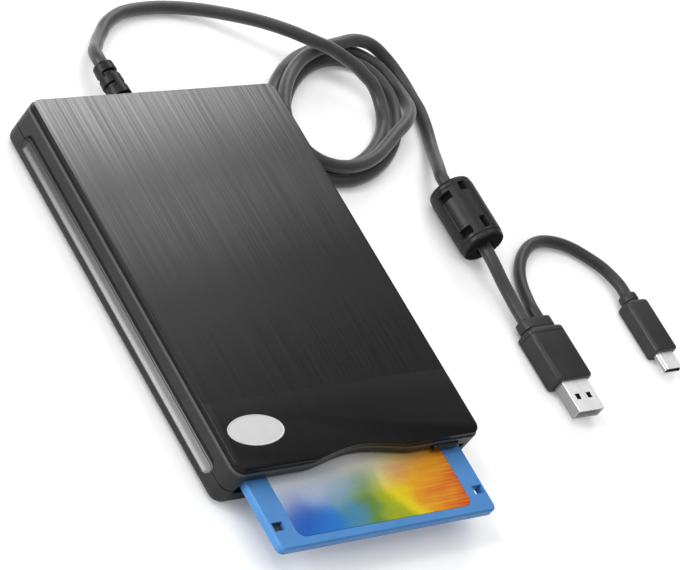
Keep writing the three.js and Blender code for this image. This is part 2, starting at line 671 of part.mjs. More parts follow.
function makeDiscHolder() {
  const { rest, open, pivot } = leverPlaces();
  const plateBack = leadSeated - holder.back;
  const rear = [plateBack - fit.over, leadSeated - holder.back + holder.earBack];
  const sheetSpan = [holderUnder, holderTop];
  const from = Math.atan2(rest.y - pivot.y, rest.x - pivot.x);
  const to = Math.atan2(open.y - pivot.y, open.x - pivot.x) - 2 * Math.PI;
  const half = lever.finger + 2 * fit.slide;
  const band = new THREE.Shape();
  const spare = (half + fit.run) / lever.arm;
  band.absarc(pivot.x, pivot.y, lever.arm + half, from + spare, to - 2 * spare, true);
  band.absarc(pivot.x, pivot.y, lever.arm - half, to - 2 * spare, from + spare, false);
  let body = join(
    block([-channelOut, channelOut], [at(holder.front), plateBack], sheetSpan),
    block([holder.earLeft, channelOut], rear, sheetSpan),
  );
  body = cut(
    body,
    block([-holder.notchHalf, holder.notchHalf], [leadSeated - holder.notchReach, leadSeated],
      [holderUnder - fit.over, holderTop + fit.over]),
    upright(band, [holderUnder - fit.over, holderTop + fit.over], 14),
  );
  for (const side of [-1, 1]) {
    const bottom = raisedUnder - fit.run;
    body = join(
      body,
      block(span(side * channelIn, side * channelOut), [at(holder.front), plateBack],
        [bottom - holder.lipSheet, holderTop]),
      block(span(side * (channelOut - holder.lip), side * channelOut), [at(holder.front), plateBack],
        [bottom - holder.lipSheet, bottom]),
      ...pinPlaces.map((y) => crossPin(pin.radius, y, discMiddle,
        span(side * (channelOut - sheet.channel / 2), side * (sideOut + pin.out)))),
    );
  }
  return body;
}

function makeLeverPivot() {
  const { pivot } = leverPlaces();
  const shoulder = leverUnder + sheet.lever + fit.slide;
  return turned([
    [0, holderTop], [lever.shaft, holderTop], [lever.shaft, shoulder], [lever.head, shoulder],
    [lever.head, shoulder + lever.headHeight], [0, shoulder + lever.headHeight],
  ], pivot.x, pivot.y, 16);
}

function makeTriggerLever() {
  const { rest, pivot } = leverPlaces();
  const arm = upright(capsuleShape(pivot.x, pivot.y, rest.x, rest.y, lever.boss, lever.tip), [leverUnder,
    leverUnder + sheet.lever], 6);
  return cut(
    join(arm, post(lever.finger, rest.x, rest.y, [leverUnder - lever.fingerReach,
      leverUnder + sheet.lever / 2], 12)),
    post(lever.shaft + fit.slide, pivot.x, pivot.y, [leverUnder - fit.over,
      leverUnder + sheet.lever + fit.over], 16),
  );
}

// Spindle motor
function makeMotorBoard() {
  const shape = roundedShape(
    motor.boardHalf, (motor.boardFront + motor.boardBack) / 2, 2 * motor.shaft, 0,
      hubSeated + (motor.boardBack - motor.boardFront) / 2,
  );
  return cut(
    upright(shape, [baseTop, baseTop + motor.board], 3),
    post(motor.bush + fit.run, 0, hubSeated, [baseTop - fit.over, baseTop + motor.board + fit.over], 20),
  );
}

function makeStator() {
  const under = baseTop + motor.board;
  const mid = under + motor.lamination;
  const ring = cut(
    post(motor.core, 0, hubSeated, [under, under + motor.coilHeight], 27),
    post(motor.bush + fit.run, 0, hubSeated, [under - fit.over, under + motor.coilHeight + fit.over], 20),
  );
  let whole = ring;
  for (let i = 0; i < motorTeeth; i += 1) {
    const turn = (2 * Math.PI * i) / motorTeeth;
    const parts = [
      new THREE.BoxGeometry(motor.tooth - motor.core + motor.ringBite, 2 * motor.toothHalf, motor.lamination)
        .translate((motor.tooth + motor.core - motor.ringBite) / 2, 0, mid),
      new THREE.BoxGeometry(motor.coilFar - motor.coilNear, 2 * motor.coilHalf, motor.coilHeight)
        .translate((motor.coilFar + motor.coilNear) / 2, 0, under + motor.coilHeight / 2),
    ];
    whole = join(whole, ...parts.map((part) => solidOf(part.rotateZ(turn).translate(0, hubSeated, 0))));
  }
  return whole;
}

function makeSpindleBearing() {
  const top = baseTop + motor.bushHeight;
  return turned([
    [motor.shaft + fit.slide, baseTop], [motor.bush, baseTop], [motor.bush, top], [motor.shaft + fit.slide,
      top],
    [motor.shaft + fit.slide, baseTop],
  ], 0, hubSeated, 20);
}

function makeSpindleRotor() {
  const tip = seatedUnder - fit.slide;
  const seat = tip - motor.tipHeight;
  const top = seat - motor.seatHeight;
  const under = top - motor.top;
  const rimUnder = under - motor.rimHeight;
  return join(
    turned([
      [0, baseTop + fit.run], [motor.shaft, baseTop + fit.run], [motor.shaft, under],
        [motor.rotor - motor.rim, under],
      [motor.rotor - motor.rim, rimUnder], [motor.rotor, rimUnder], [motor.rotor, top], [motor.seat, top],
        [motor.seat, seat],
      [motor.tip, seat], [motor.tip, tip], [0, tip],
    ], 0, hubSeated, 30),
    post(motor.pinRadius, motor.pinAt, hubSeated, [top, tip], 10),
  );
}

// Head carriage and what drives it
function makeHeadCarriage() {
  const lift = baseTop + head.bodyLift;
  const rear = at(bodyFront + head.bodyLength);
  const armUp = baseTop + head.armLift;
  const headTop = discMiddle - level.drop - medium.thickness / 2 - head.gap;
  const lugTop = rodZ + head.lugHeight / 2;
  const ears = bothSides((side) => cut(
    sideways(
      capsuleShape(hingeY, lift + head.bodyHeight - head.earRadius, hingeY, hingeZ(), head.earRadius),
        span(side * head.earIn, side * head.earOut), 6,
    ),
    crossPin(upperArm.bore, hingeY, hingeZ(), span(side * (head.earIn - fit.over),
      side * (head.earOut + fit.over))),
  ));
  const pinY = followerY();
  const nut = join(
    block(
      [leadScrew.x + leadScrew.radius + fit.run, -head.bodyHalf + fit.run], [pinY - leadScrew.lug / 2,
        pinY + leadScrew.lug / 2],
      [screwZ - leadScrew.lugHalf, screwZ + leadScrew.lugHalf],
    ),
    crossPin(leadScrew.pin, pinY, screwZ, [leadScrew.x + leadScrew.radius - leadScrew.pinDepth,
      leadScrew.x + 2 * leadScrew.radius], 8),
  );
  return join(
    block([-head.bodyHalf, head.bodyHalf], [at(bodyFront), rear], [lift, lift + head.bodyHeight]),
    block([-head.armHalf, head.armHalf], [trackZero - 2 * head.half, at(bodyFront) + fit.over], [armUp,
      armUp + head.armSheet]),
    block([-head.width, head.width], [trackZero - head.half, trackZero + head.half],
      [armUp + head.armSheet / 2, headTop]),
    cut(
      block([head.bodyHalf - fit.run, head.bodyHalf + head.lugOut], [at(bodyFront) + fit.over,
        at(bodyFront) + fit.over + head.lugLength],
        [rodZ - head.lugHeight / 2, lugTop]),
      shaft(rod.radius + fit.slide, rod.x, rodZ, [at(bodyFront), rear]),
    ),
    block(
      [head.bodyHalf + head.lugOut - fit.over, head.bodyHalf + head.lugOut + head.flag], [flagY(),
        flagY() + head.flagLength],
      [lugTop - head.flagSheet, lugTop],
    ),
    ...ears, nut,
  );
}

const hingeZ = () => armUnderLowered() + head.earRadius / 2 + fit.run;
const armUnderLowered = () => discMiddle - level.drop + disc.thickness / 2 + upperArm.clear;
const flagY = () => at(bodyFront) + head.lugLength / 2;
const followerY = () => at(bodyFront) + head.bodyLength / 2;

function makeArmPin() {
  return crossPin(upperArm.pin, hingeY, hingeZ(), [-head.earOut, head.earOut]);
}

// The arm is drawn lowered and then turned up, clear of a raised disc
function raisedAngle() {
  const under = discMiddle - level.drop + medium.thickness / 2 + upperArm.clear;
  const lift = raisedTop + fit.slide - under;
  return Math.asin(lift / (upperArm.hingeBack - head.half));
}

// Section of the arm along its length: cranked up near the hinge, so that the raised arm clears a raised disc
function crankedShape(from, low, high) {
  const bend = hingeY - upperArm.crank;
  const shape = new THREE.Shape();
  shape.moveTo(from, low);
  shape.lineTo(bend - upperArm.slope, low);
  shape.lineTo(bend, low + upperArm.rise);
  shape.lineTo(hingeY, low + upperArm.rise);
  shape.lineTo(hingeY, high + upperArm.rise);
  shape.lineTo(bend, high + upperArm.rise);
  shape.lineTo(bend - upperArm.slope, high);
  shape.lineTo(from, high);
  return shape;
}

function makeUpperArm() {
  const under = discMiddle - level.drop + medium.thickness / 2 + upperArm.clear;
  const armUnder = armUnderLowered();
  const armTop = armUnder + upperArm.sheet;
  const tip = trackZero - upperArm.reach;
  return cut(
    join(
      sideways(crankedShape(tip, armUnder, armTop), [-upperArm.half, upperArm.half]),
      block([-upperArm.width, upperArm.width], [trackZero - head.half, trackZero + head.half], [under,
        armTop - upperArm.sheet / 2]),
      ...bothSides((side) => sideways(
        crankedShape(trackZero + 2 * upperArm.reach, armTop - upperArm.rib / 2, armTop + upperArm.rib),
        span(side * (upperArm.half - upperArm.rib), side * upperArm.half),
      )),
      crossPin(upperArm.knuckle, hingeY, hingeZ(), [-upperArm.half, upperArm.half], 14),
    ),
    crossPin(upperArm.bore, hingeY, hingeZ(), [-upperArm.half - fit.over, upperArm.half + fit.over], 12),
  );
}

// Screw with one helical groove: the radius falls as a raised cosine round the groove's middle
function makeLeadScrew() {
  const start = leadSeated + leadScrew.radius + rod.tab + fit.run;
  const end = at(bracketFront) - fit.run;
  const sides = 12;
  const rings = Math.ceil(((end - start) / leadScrew.lead) * 8);
  const positions = [];
  const index = [];
  const ring = (y, radiusAt) => {
    for (let k = 0; k < sides; k += 1) {
      const angle = (2 * Math.PI * k) / sides;
      const r = radiusAt(angle);
      positions.push(leadScrew.x + r * Math.cos(angle), y, screwZ + r * Math.sin(angle));
    }
  };
  const grooved = (y) => (angle) => {
    const phase = (2 * Math.PI * (y - followerY())) / leadScrew.lead - angle;
    return leadScrew.radius - leadScrew.groove * Math.max(0, Math.cos(phase));
  };
  for (let i = 0; i <= rings; i += 1) {
    const y = start + ((end - start) * i) / rings;
    ring(y, grooved(y));
  }
  for (let i = 0; i < rings; i += 1) {
    for (let k = 0; k < sides; k += 1) {
      const [a, b] = [i * sides + k, i * sides + ((k + 1) % sides)];
      index.push(a, a + sides, b, b, a + sides, b + sides);
    }
  }
  const last = rings * sides;
  for (let k = 1; k < sides - 1; k += 1) {
    index.push(0, k, k + 1, last, last + k + 1, last + k);
  }
  const geometry = new THREE.BufferGeometry();
  geometry.setAttribute('position', new THREE.BufferAttribute(new Float32Array(positions), 3));
  geometry.setIndex(index);
  return join(
    solidOf(geometry),
    shaft(leadScrew.journal, leadScrew.x, screwZ, [leadSeated + leadScrew.radius - fit.run,
      start + fit.over], 12),
    shaft(leadScrew.journal, leadScrew.x, screwZ, [end - fit.over,
      at(stepperFront) + stepper.socket - fit.run], 12),
  );
}

function makeStepper() {
  return cut(
    join(
      shaft(stepper.radius, leadScrew.x, screwZ, [at(stepperFront), at(stepperFront + stepper.length)], 24),
      block([leadScrew.x - stepper.radius / 2, leadScrew.x + stepper.radius / 2],
        [at(stepperFront + stepper.length / 2), at(stepperFront + stepper.length)], [screwZ,
          screwZ + stepper.radius + fit.run]),
    ),
    shaft(leadScrew.journal + fit.run, leadScrew.x, screwZ, [at(stepperFront) - fit.over,
      at(stepperFront) + stepper.socket], 12),
  );
}

function makeGuideRod() {
  return shaft(rod.radius, rod.x, rodZ, [leadSeated - 2 * rod.tab, at(bracketFront) + rod.tab], 16);
}

function makeTrackSensor() {
  const x0 = head.bodyHalf + head.lugOut + sensor.gap;
  const slotMid = rodZ + head.lugHeight / 2 - head.flagSheet / 2;
  const mid = flagY() + head.flagLength / 2;
  return cut(
    block([x0, x0 + sensor.width], [mid - sensor.length / 2, mid + sensor.length / 2], [baseTop,
      baseTop + sensor.height]),
    block([x0 - fit.over, x0 + sensor.slotDepth], [mid - sensor.length, mid + sensor.length],
      [slotMid - head.flagSheet / 2 - sensor.slotUnder, slotMid + head.flagSheet / 2 + sensor.slotOver]),
  );
}

function makeMicroSwitch(side) {
  const x = span(side * microSwitch.inboard, side * (microSwitch.inboard + microSwitch.width));
  const y0 = at(microSwitch.back);
  const top = baseTop + microSwitch.height;
  return join(
    block(x, [y0, y0 + microSwitch.length], [baseTop, top]),
    post(microSwitch.plunger, (x[0] + x[1]) / 2, y0 + microSwitch.length / 2, [top - fit.slide,
      seatedUnder - fit.run], 10),
  );
}

// Boards behind the disc, on the chassis's standoffs
function boardSpan() {
  const back = at(innerBack) - screw.inset - screw.boss - 4 * fit.run - fit.over;
  return [back - board.length, back];
}

function boardPosts() {
  const [y0, y1] = boardSpan();
  return bothSides((side) => [board.left + board.postInset, board.right - board.postInset].flatMap(
    (x) => [y0 + board.postInset, y1 - board.postInset].map((y) => [side * x, y]),
  )).flat();
}

const boardTop = baseTop + board.standoff + board.thickness;

function makeBoard(side) {
  return block(span(side * board.left, side * board.right), boardSpan(), [boardTop - board.thickness,
    boardTop]);
}

function onBoard(side, alongShare, acrossShare, width, length, height) {
  const [y0, y1] = boardSpan();
  const x = side * (board.left + (board.right - board.left) * acrossShare);
  const y = y0 + (y1 - y0) * alongShare;
  return block([x - width / 2, x + width / 2], [y - length / 2, y + length / 2], [boardTop,
    boardTop + height]);
}

const chipPlaceShare = { along: 0.5, across: 0.5 };
const crystalPlaceShare = { along: 0.12, across: 0.3 };
const socketPlaceShare = { along: 0.92, across: 0.2 };

// Floppy disc: two half shells, label, sliding cover, hub, magnetic disc and protect tab
const discEndY = leadRest - disc.length;
const protectUnder = raisedUnder + disc.skin + protectTab.margin / 2;
const hubRest = leadRest - disc.hubBack;

function discOutline() {
  const half = disc.width / 2;
  const r = disc.corner;
  const shape = new THREE.Shape();
  shape.absarc(-half + r, discEndY + r, r, Math.PI, 1.5 * Math.PI);
  shape.absarc(half - r, discEndY + r, r, -Math.PI / 2, 0);
  shape.lineTo(half, leadRest - disc.notch);
  shape.lineTo(half - disc.notch, leadRest);
  shape.absarc(-half + r, leadRest - r, r, Math.PI / 2, Math.PI);
  return shape;
}

function shutterRecess(heights) {
  return block(
    [shutter.right - shutter.width - shutter.travel - fit.run, shutter.right + fit.run],
    [leadRest - shutter.depth - fit.run, leadRest + fit.over], heights,
  );
}

function protectX() {
  return disc.width / 2 - protectHole.fromSide;
}

function discHoles(heights) {
  const y = discEndY + protectHole.fromEnd;
  return bothSides((side) => block(
    [side * protectX() - protectHole.width / 2, side * protectX() + protectHole.width / 2],
    [y - protectHole.length / 2, y + protectHole.length / 2], heights,
  ));
}

function headWindow(heights) {
  return block([-disc.windowHalf, disc.windowHalf], [leadRest - disc.windowFar, leadRest - disc.windowNear],
    heights);
}

function discBody([z0, z1]) {
  const whole = softened(discOutline(), [raisedUnder, raisedTop], disc.edge, 1, 4);
  const far = [discEndY - fit.over, leadRest + fit.over];
  const side = disc.width / 2 + fit.over;
  return cut(
    whole,
    block([-side, side], far, [raisedUnder - fit.over, z0]),
    block([-side, side], far, [z1, raisedTop + fit.over]),
    block(
      [shutter.right - shutter.width - shutter.travel - fit.run, shutter.right + fit.run],
      [leadRest - shutter.recess, leadRest + fit.over], [raisedUnder - fit.over, raisedTop + fit.over],
    ),
  );
}

function protectPocket(heights) {
  const x = -protectX();
  const y = discEndY + protectHole.fromEnd - protectHole.length / 2 - protectTab.margin;
  const half = protectHole.width / 2;
  return block([x - half, x + half], [y, y + protectTab.pocket], heights);
}

function makeLowerShell() {
  const floor = raisedUnder + disc.skin;
  const x = -protectX();
  const [low, high] = [raisedUnder - fit.over, discMiddle + fit.over];
  const pocketY = discEndY + protectHole.fromEnd - protectHole.length / 2;
  return cut(
    discBody([raisedUnder, discMiddle]),
    post(disc.cavity, 0, hubRest, [floor, high], 40),
    post(disc.hubHole, 0, hubRest, [low, floor + fit.over], 28),
    headWindow([low, floor + fit.over]),
    shutterRecess([low, raisedUnder + shutter.recess]),
    discHoles([low, high])[1],
    protectPocket([floor, high]),
    block([x - protectTab.slotHalf, x + protectTab.slotHalf], [pocketY,
      pocketY + protectTab.pocket - 2 * fit.run], [low, floor + fit.over]),
  );
}

function makeUpperShell() {
  const ceiling = raisedTop - disc.skin;
  const [low, high] = [discMiddle - fit.over, raisedTop + fit.over];
  return cut(
    discBody([discMiddle, raisedTop]),
    post(disc.cavity, 0, hubRest, [low, ceiling], 40),
    headWindow([ceiling - fit.over, high]),
    shutterRecess([raisedTop - shutter.recess, high]),
    ...discHoles([low, high]),
    protectPocket([low, protectUnder + protectTab.height + fit.slide]),
    upright(labelShape(fit.run / 3), [raisedTop - label.recess, high], 3),
  );
}

function labelShape(grow = 0) {
  const mid = discEndY + label.endGap + label.length / 2;
  return roundedShape(label.halfWidth + grow, label.length / 2 + grow, label.corner, 0, mid);
}

function makeLabel() {
  return upright(labelShape(), [raisedTop - label.recess, raisedTop], 4);
}

// Its window lies over the shell's window once the shutter has slid aside by its travel
function makeShutter() {
  const x = [shutter.right - shutter.width, shutter.right];
  const gap = (shutter.recess - shutter.sheet) / 2;
  const y = [leadRest - shutter.depth, leadRest - gap];
  const leaf = [raisedUnder + gap, raisedTop - gap];
  return cut(
    block(x, y, leaf),
    block([x[0] - fit.over, x[1] + fit.over], [y[0] - fit.over, y[1] - shutter.sheet],
      [leaf[0] + shutter.sheet, leaf[1] - shutter.sheet]),
    block([shutter.travel - shutter.windowHalf, shutter.travel + shutter.windowHalf],
      [y[1] - shutter.windowInset - shutter.windowLength, y[1] - shutter.windowInset], [leaf[0] - fit.over,
        leaf[1] + fit.over]),
  );
}

function makeMagneticDisc() {
  const inner = hub.radius - hub.ring;
  const [z0, z1] = [discMiddle - medium.thickness / 2, discMiddle + medium.thickness / 2];
  return turned([[inner, z0], [medium.radius, z0], [medium.radius, z1], [inner, z1], [inner, z0]], 0,
    hubRest, 40);
}

function makeHub() {
  const under = raisedUnder + hub.lift;
  const top = discMiddle - medium.thickness / 2;
  const inner = hub.radius - hub.ring;
  return cut(
    turned([[0, under], [hub.radius, under], [hub.radius, top], [inner, top], [inner, under + hub.plate],
      [0, under + hub.plate]],
      0, hubRest, 28),
    block([-hub.square, hub.square], [hubRest - hub.square, hubRest + hub.square], [under - fit.over, top]),
    block([hub.slotNear, hub.slotFar], [hubRest - hub.slotHalf, hubRest + hub.slotHalf], [under - fit.over,
      under + hub.plate + fit.run]),
  );
}

function makeProtectTab() {
  const x = -protectX();
  const half = protectHole.width / 2 - protectTab.margin;
  const y = discEndY + protectHole.fromEnd - protectHole.length / 2;
  return block([x - half, x + half], [y, y + protectTab.length], [protectUnder,
    protectUnder + protectTab.height]);
}

// Lead
function reliefProfile() {
  const wallIn = at(innerBack) - fit.run;
  const wallOut = at(caseLength) + fit.run;
  const points = [[0, wallIn - relief.flangeLength], [relief.flange, wallIn - relief.flangeLength],
    [relief.flange, wallIn],
    [relief.neck, wallIn], [relief.neck, wallOut]];
  const pitch = relief.ribLength + relief.ribGap;
  const taper = (s) => relief.baseRadius + (relief.tipRadius - relief.baseRadius) * (s / relief.length);
  for (let i = 0; i < reliefRibs; i += 1) {
    const s = i * pitch;
    points.push([taper(s), wallOut + s], [taper(s + relief.ribLength), wallOut + s + relief.ribLength]);
    points.push([taper(s + relief.ribLength) - relief.rib, wallOut + s + relief.ribLength]);
    points.push([taper(s + pitch) - relief.rib, wallOut + s + pitch]);
  }
  const end = wallOut + relief.length;
  points.push([taper(reliefRibs * pitch), wallOut + reliefRibs * pitch], [relief.tipRadius,
    end - relief.tipEdge]);
  points.push([relief.tipRadius - relief.tipEdge, end], [0, end]);
  return points;
}

function tube(points, radius, sides, steps) {
  const curve = new THREE.CatmullRomCurve3(points.map((p) => new THREE.Vector3(...p)), false, 'centripetal');
  const section = new THREE.Shape(
    Array.from({ length: sides }, (_, i) => {
      const angle = (2 * Math.PI * (i + 0.5)) / sides;
      return new THREE.Vector2(radius * Math.cos(angle), radius * Math.sin(angle));
    }),
  );
  return solidOf(new THREE.ExtrudeGeometry(section, { steps, extrudePath: curve }));
}

// Two loops lie side by side, one pitch further out each turn. The third climbs over the second, rides in
// the groove between the two and comes down outside them. The start comes in from above, further in, and
// settles onto the surface.
function coilPoint(turn) {
  const angle = -2 * Math.PI * turn;
  const above = 1 - THREE.MathUtils.smoothstep(turn, ...coilSettleShares);
  const climbed = THREE.MathUtils.smoothstep(turn,
    ...coilClimbShares) * (1 - THREE.MathUtils.smoothstep(turn, ...coilDropShares));
  const over = THREE.MathUtils.degToRad(coilGrooveDegrees) * climbed;
  const grow = coil.pitch * (turn - 1 + Math.cos(over)) - coil.inward * above;
  const tilt = THREE.MathUtils.degToRad(coilTurnDegrees);
  const u = (coil.major + grow) * Math.cos(angle);
  const v = (coil.minor + grow) * Math.sin(angle);
  return new THREE.Vector3(
    coil.x + u * Math.cos(tilt) - v * Math.sin(tilt),
    coil.y + u * Math.sin(tilt) + v * Math.cos(tilt),
    cord.radius + cord.lift + coil.rise * above + coil.pitch * Math.sin(over),
  );
}

// The wound points, with a straight end of one diameter before and after them
function coilPoints(stepsPerTurn = 24) {
  const steps = Math.round(coilTurns * stepsPerTurn);
  const wound = Array.from({ length: steps + 1 }, (_, i) => coilPoint((coilTurns * i) / steps));
  const straight = (end, next) => end.clone().addScaledVector(end.clone().sub(next).normalize(),
    2 * cord.radius);
  return [straight(wound[0], wound[1]), ...wound, straight(wound[steps], wound[steps - 1])];
}

function leastCoilGap() {
  const stepsPerTurn = 72;
  const points = coilPoints(stepsPerTurn);
  let least = Infinity;
  points.forEach((a, i) => points.slice(i + stepsPerTurn / 2).forEach((b) => {
    least = Math.min(least, a.distanceTo(b));
  }));
  return least - 2 * cord.radius;
}

function makeCoil() {
  const points = coilPoints();
  return tube(points.map((p) => p.toArray()), cord.radius, 6, points.length - 1);
}

// A point off one end of the coil, in line with it
function beyondCoil(end, distance) {
  const points = coilPoints();
  const [last, next] = end === 'start' ? points : points.slice(-2).reverse();
  return last.clone().addScaledVector(last.clone().sub(next).normalize(), distance).toArray();
}

function makeLead() {
  const start = at(caseLength) + 2 * fit.run + relief.length;
  return tube([
    [relief.x, start, seam], [relief.x, start + cord.radius, seam], ...leadRoute,
    beyondCoil('start', cord.radius * 2), beyondCoil('start', cord.meet),
  ], cord.radius, 8, 42);
}

const ferriteZ = ferrite.radius;

function makeRun() {
  const end = ferrite.back + cord.meet;
  return tube([
    beyondCoil('end', cord.meet), beyondCoil('end', cord.radius * 2), ...runRoute,
    [ferrite.x, end + cord.radius * 2, ferriteZ], [ferrite.x, end, ferriteZ],
  ], cord.radius, 8, 14);
}

function makeTail() {
  const start = ferrite.back - ferrite.length - cord.meet;
  const end = plugA.back + cord.meet;
  const x = plugA.x - plugA.cordAt;
  return tube([
    [ferrite.x, start, ferriteZ], [ferrite.x, start - cord.radius, ferriteZ], ...tailRoute,
    [x, end + cord.radius * 2, plugA.bodyHeight / 2], [x, end, plugA.bodyHeight / 2],
  ], cord.radius, 8, 8);
}

function makePigtail() {
  const endC = plugC.back + cord.meet;
  const x = plugA.x + plugA.cordAt;
  return tube([
    [x, plugA.back + cord.meet, plugA.bodyHeight / 2], [x, plugA.back + cord.meet + cord.pigtail * 2,
      plugA.bodyHeight / 2],
    ...pigtailRoute, [plugC.x, endC + cord.pigtail * 2, plugC.bodyHeight / 2], [plugC.x, endC,
      plugC.bodyHeight / 2],
  ], cord.pigtail, 8, 22);
}

function makeInnerWires() {
  const start = at(innerBack) - 2 * fit.run - relief.flangeLength;
  const [, boardBack] = boardSpan();
  const x = board.left + (board.right - board.left) * socketPlaceShare.across;
  const z = boardTop + chip.socketHeight / 2;
  const r = cord.wires;
  return tube([
    [relief.x, start, seam], [relief.x, start - r, seam], [relief.x + cord.wiresStart,
      start - cord.wiresStart, (seam + z) / 2],
    [x - cord.wiresEnd, start - cord.wiresStart - r / 2, z], [x - r, boardBack + 2 * r + fit.run, z],
    [x, boardBack + fit.run + r, z], [x, boardBack + fit.run, z],
  ], r, 8, 16);
}

function makeFerrite() {
  const y = [ferrite.back - ferrite.length, ferrite.back];
  const body = turnedLengthways([
    [0, y[0]], [ferrite.radius - ferrite.edge, y[0]], [ferrite.radius, y[0] + ferrite.edge],
    [ferrite.radius, y[1] - ferrite.edge], [ferrite.radius - ferrite.edge, y[1]], [0, y[1]],
  ], ferrite.x, ferriteZ, 28);
  const slots = [];
  for (const side of [-1, 1]) {
    for (const place of [y[0] + ferrite.slotInset, y[1] - ferrite.slotInset]) {
      const tool = new THREE.BoxGeometry(ferrite.slotLength, 2 * ferrite.slotHalf, 2 * ferrite.slotDepth)
        .translate(0, 0, ferrite.radius)
        .rotateY(side * THREE.MathUtils.degToRad(ferriteSlotDegrees))
        .translate(ferrite.x, place, ferriteZ);
      slots.push(solidOf(tool));
    }
  }
  return cut(body, ...slots);
}

function makeOvermould(plug) {
  const z = plug.bodyHeight / 2;
  const neckFront = plug.back - plug.neckLength;
  return join(
    lengthways(roundedShape(plug.neckHalf, plug.neckHeight / 2, plug.neckHeight / 2.5, plug.x, z),
      [neckFront - fit.over, plug.back], plug.wall, 4),
    lengthways(roundedShape(plug.bodyHalf, z, plug.corner, plug.x, z), [neckFront - plug.bodyLength,
      neckFront], plug.corner / 2, 4),
  );
}

function shellCorner(plug) {
  return plug === plugC ? plugC.shellHeight / 2 : plugA.wall;
}

function shellFront(plug) {
  return plug.back - plug.neckLength - plug.bodyLength;
}

function makePlugShell(plug) {
  const z = plug.bodyHeight / 2;
  const y1 = shellFront(plug);
  const y0 = y1 - plug.shellLength;
  const corner = shellCorner(plug);
  const outer = roundedShape(plug.shellHalf, plug.shellHeight / 2, corner, plug.x, z);
  const inner = roundedShape(plug.shellHalf - plug.wall, plug.shellHeight / 2 - plug.wall,
    corner - plug.wall / 2, plug.x, z);
  return cut(lengthways(outer, [y0, y1], 0, 4), lengthways(inner, [y0 - fit.over, y1 - plug.wall], 0, 4));
}

function makeShellA() {
  const top = plugA.bodyHeight / 2 + plugA.shellHeight / 2;
  const y = shellFront(plugA) - plugA.windowAt;
  const windows = bothSides((side) => {
    const x = plugA.x + side * plugA.windowBack;
    return block([x - plugA.window / 2, x + plugA.window / 2], [y - plugA.window, y],
      [top - plugA.wall - fit.slide, top + fit.over]);
  });
  return cut(makePlugShell(plugA), ...windows);
}

function makeTongue(plug, offset) {
  const z = plug.bodyHeight / 2 + offset;
  const y1 = shellFront(plug) - plug.wall;
  const half = plug.shellHalf - plug.wall - plug.tongueInset / 2;
  return block([plug.x - half, plug.x + half], [y1 - plug.shellLength + plug.wall + plug.tongueInset, y1],
    [z - plug.tongueHeight / 2, z + plug.tongueHeight / 2]);
}

// Assembly
const drive = new THREE.Group();
drive.name = 'floppy_drive';

function addAll(name, pieces) {
  const group = new THREE.Group();
  group.name = name;
  pieces.forEach(([pieceName, solid, material]) => group.add(meshOf(pieceName, solid, material)));
  drive.add(group);
  return group;
}

addAll('casing_parts', [
  ['top_cover', makeTopCover(), finishes.casing],
  ['top_plate', makeTopPlate(), finishes.panel],
  ['oval_badge', makeBadge(), finishes.badge],
  ['bottom_cover', makeBottomCover(), finishes.casing],
  ...footPlaces().map((place, i) => [`rubber_foot_${i + 1}`, makeFoot(place), finishes.rubber]),
  ...screwPlaces.map((place, i) => [`case_screw_${i + 1}`, makeCaseScrew(place), finishes.steel]),
]);

const mechanism = addAll('mechanism', [
  ['chassis', makeChassis(), finishes.sheet],
  ['mechanism_cover', makeMechanismCover(), finishes.sheet],
  ['eject_slide', makeEjectSlide(), finishes.steel],
  ['eject_button', makeEjectButton(), finishes.button],
  ['eject_spring_left', makeSpring(-1), finishes.steel],
  ['eject_spring_right', makeSpring(1), finishes.steel],
  ['disc_holder', makeDiscHolder(), finishes.steel],
  ['lever_pivot', makeLeverPivot(), finishes.brass],
  ['trigger_lever', makeTriggerLever(), finishes.sheet],
  ['motor_board', makeMotorBoard(), finishes.board],
  ['stator', makeStator(), finishes.copper],
  ['spindle_bearing', makeSpindleBearing(), finishes.brass],
  ['spindle_rotor', makeSpindleRotor(), finishes.steel],
  ['head_carriage', makeHeadCarriage(), finishes.head],
  ['arm_hinge_pin', makeArmPin(), finishes.steel],
  ['lead_screw', makeLeadScrew(), finishes.steel],
  ['stepper_motor', makeStepper(), finishes.sheet],
  ['guide_rod', makeGuideRod(), finishes.steel],
  ['track_sensor', makeTrackSensor(), finishes.chip],
  ['disc_switch', makeMicroSwitch(1), finishes.chip],
  ['protect_switch', makeMicroSwitch(-1), finishes.chip],
  ['usb_board', makeBoard(1), finishes.board],
  ['usb_chip', onBoard(1, chipPlaceShare.along, chipPlaceShare.across, chip.side, chip.side, chip.height),
    finishes.chip],
  ['crystal', onBoard(1, crystalPlaceShare.along, crystalPlaceShare.across, chip.crystalLength,
    chip.crystalWidth, chip.crystalHeight),
    finishes.steel],
  ['cord_socket', onBoard(1, socketPlaceShare.along, socketPlaceShare.across, chip.socketWidth,
    chip.crystalWidth, chip.socketHeight),
    finishes.tongue],
  ['control_board', makeBoard(-1), finishes.board],
  ['control_chip', onBoard(-1, chipPlaceShare.along, chipPlaceShare.across, chip.driveSide, chip.driveSide,
    chip.height), finishes.chip],
  ['inner_wires', makeInnerWires(), finishes.cord],
]);
mechanism.add(
  meshOf('upper_head_arm', makeUpperArm(), finishes.sheet, -raisedAngle(), new THREE.Vector3(0, hingeY,
    hingeZ())),
);

addAll('floppy_disc', [
  ['disc_shell_lower', makeLowerShell(), finishes.blue],
  ['disc_shell_upper', makeUpperShell(), finishes.blue],
  ['disc_label', makeLabel(), finishes.paper],
  ['disc_shutter', makeShutter(), finishes.shutter],
  ['magnetic_disc', makeMagneticDisc(), finishes.film],
  ['disc_hub', makeHub(), finishes.shutter],
  ['protect_tab', makeProtectTab(), finishes.casing],
]);

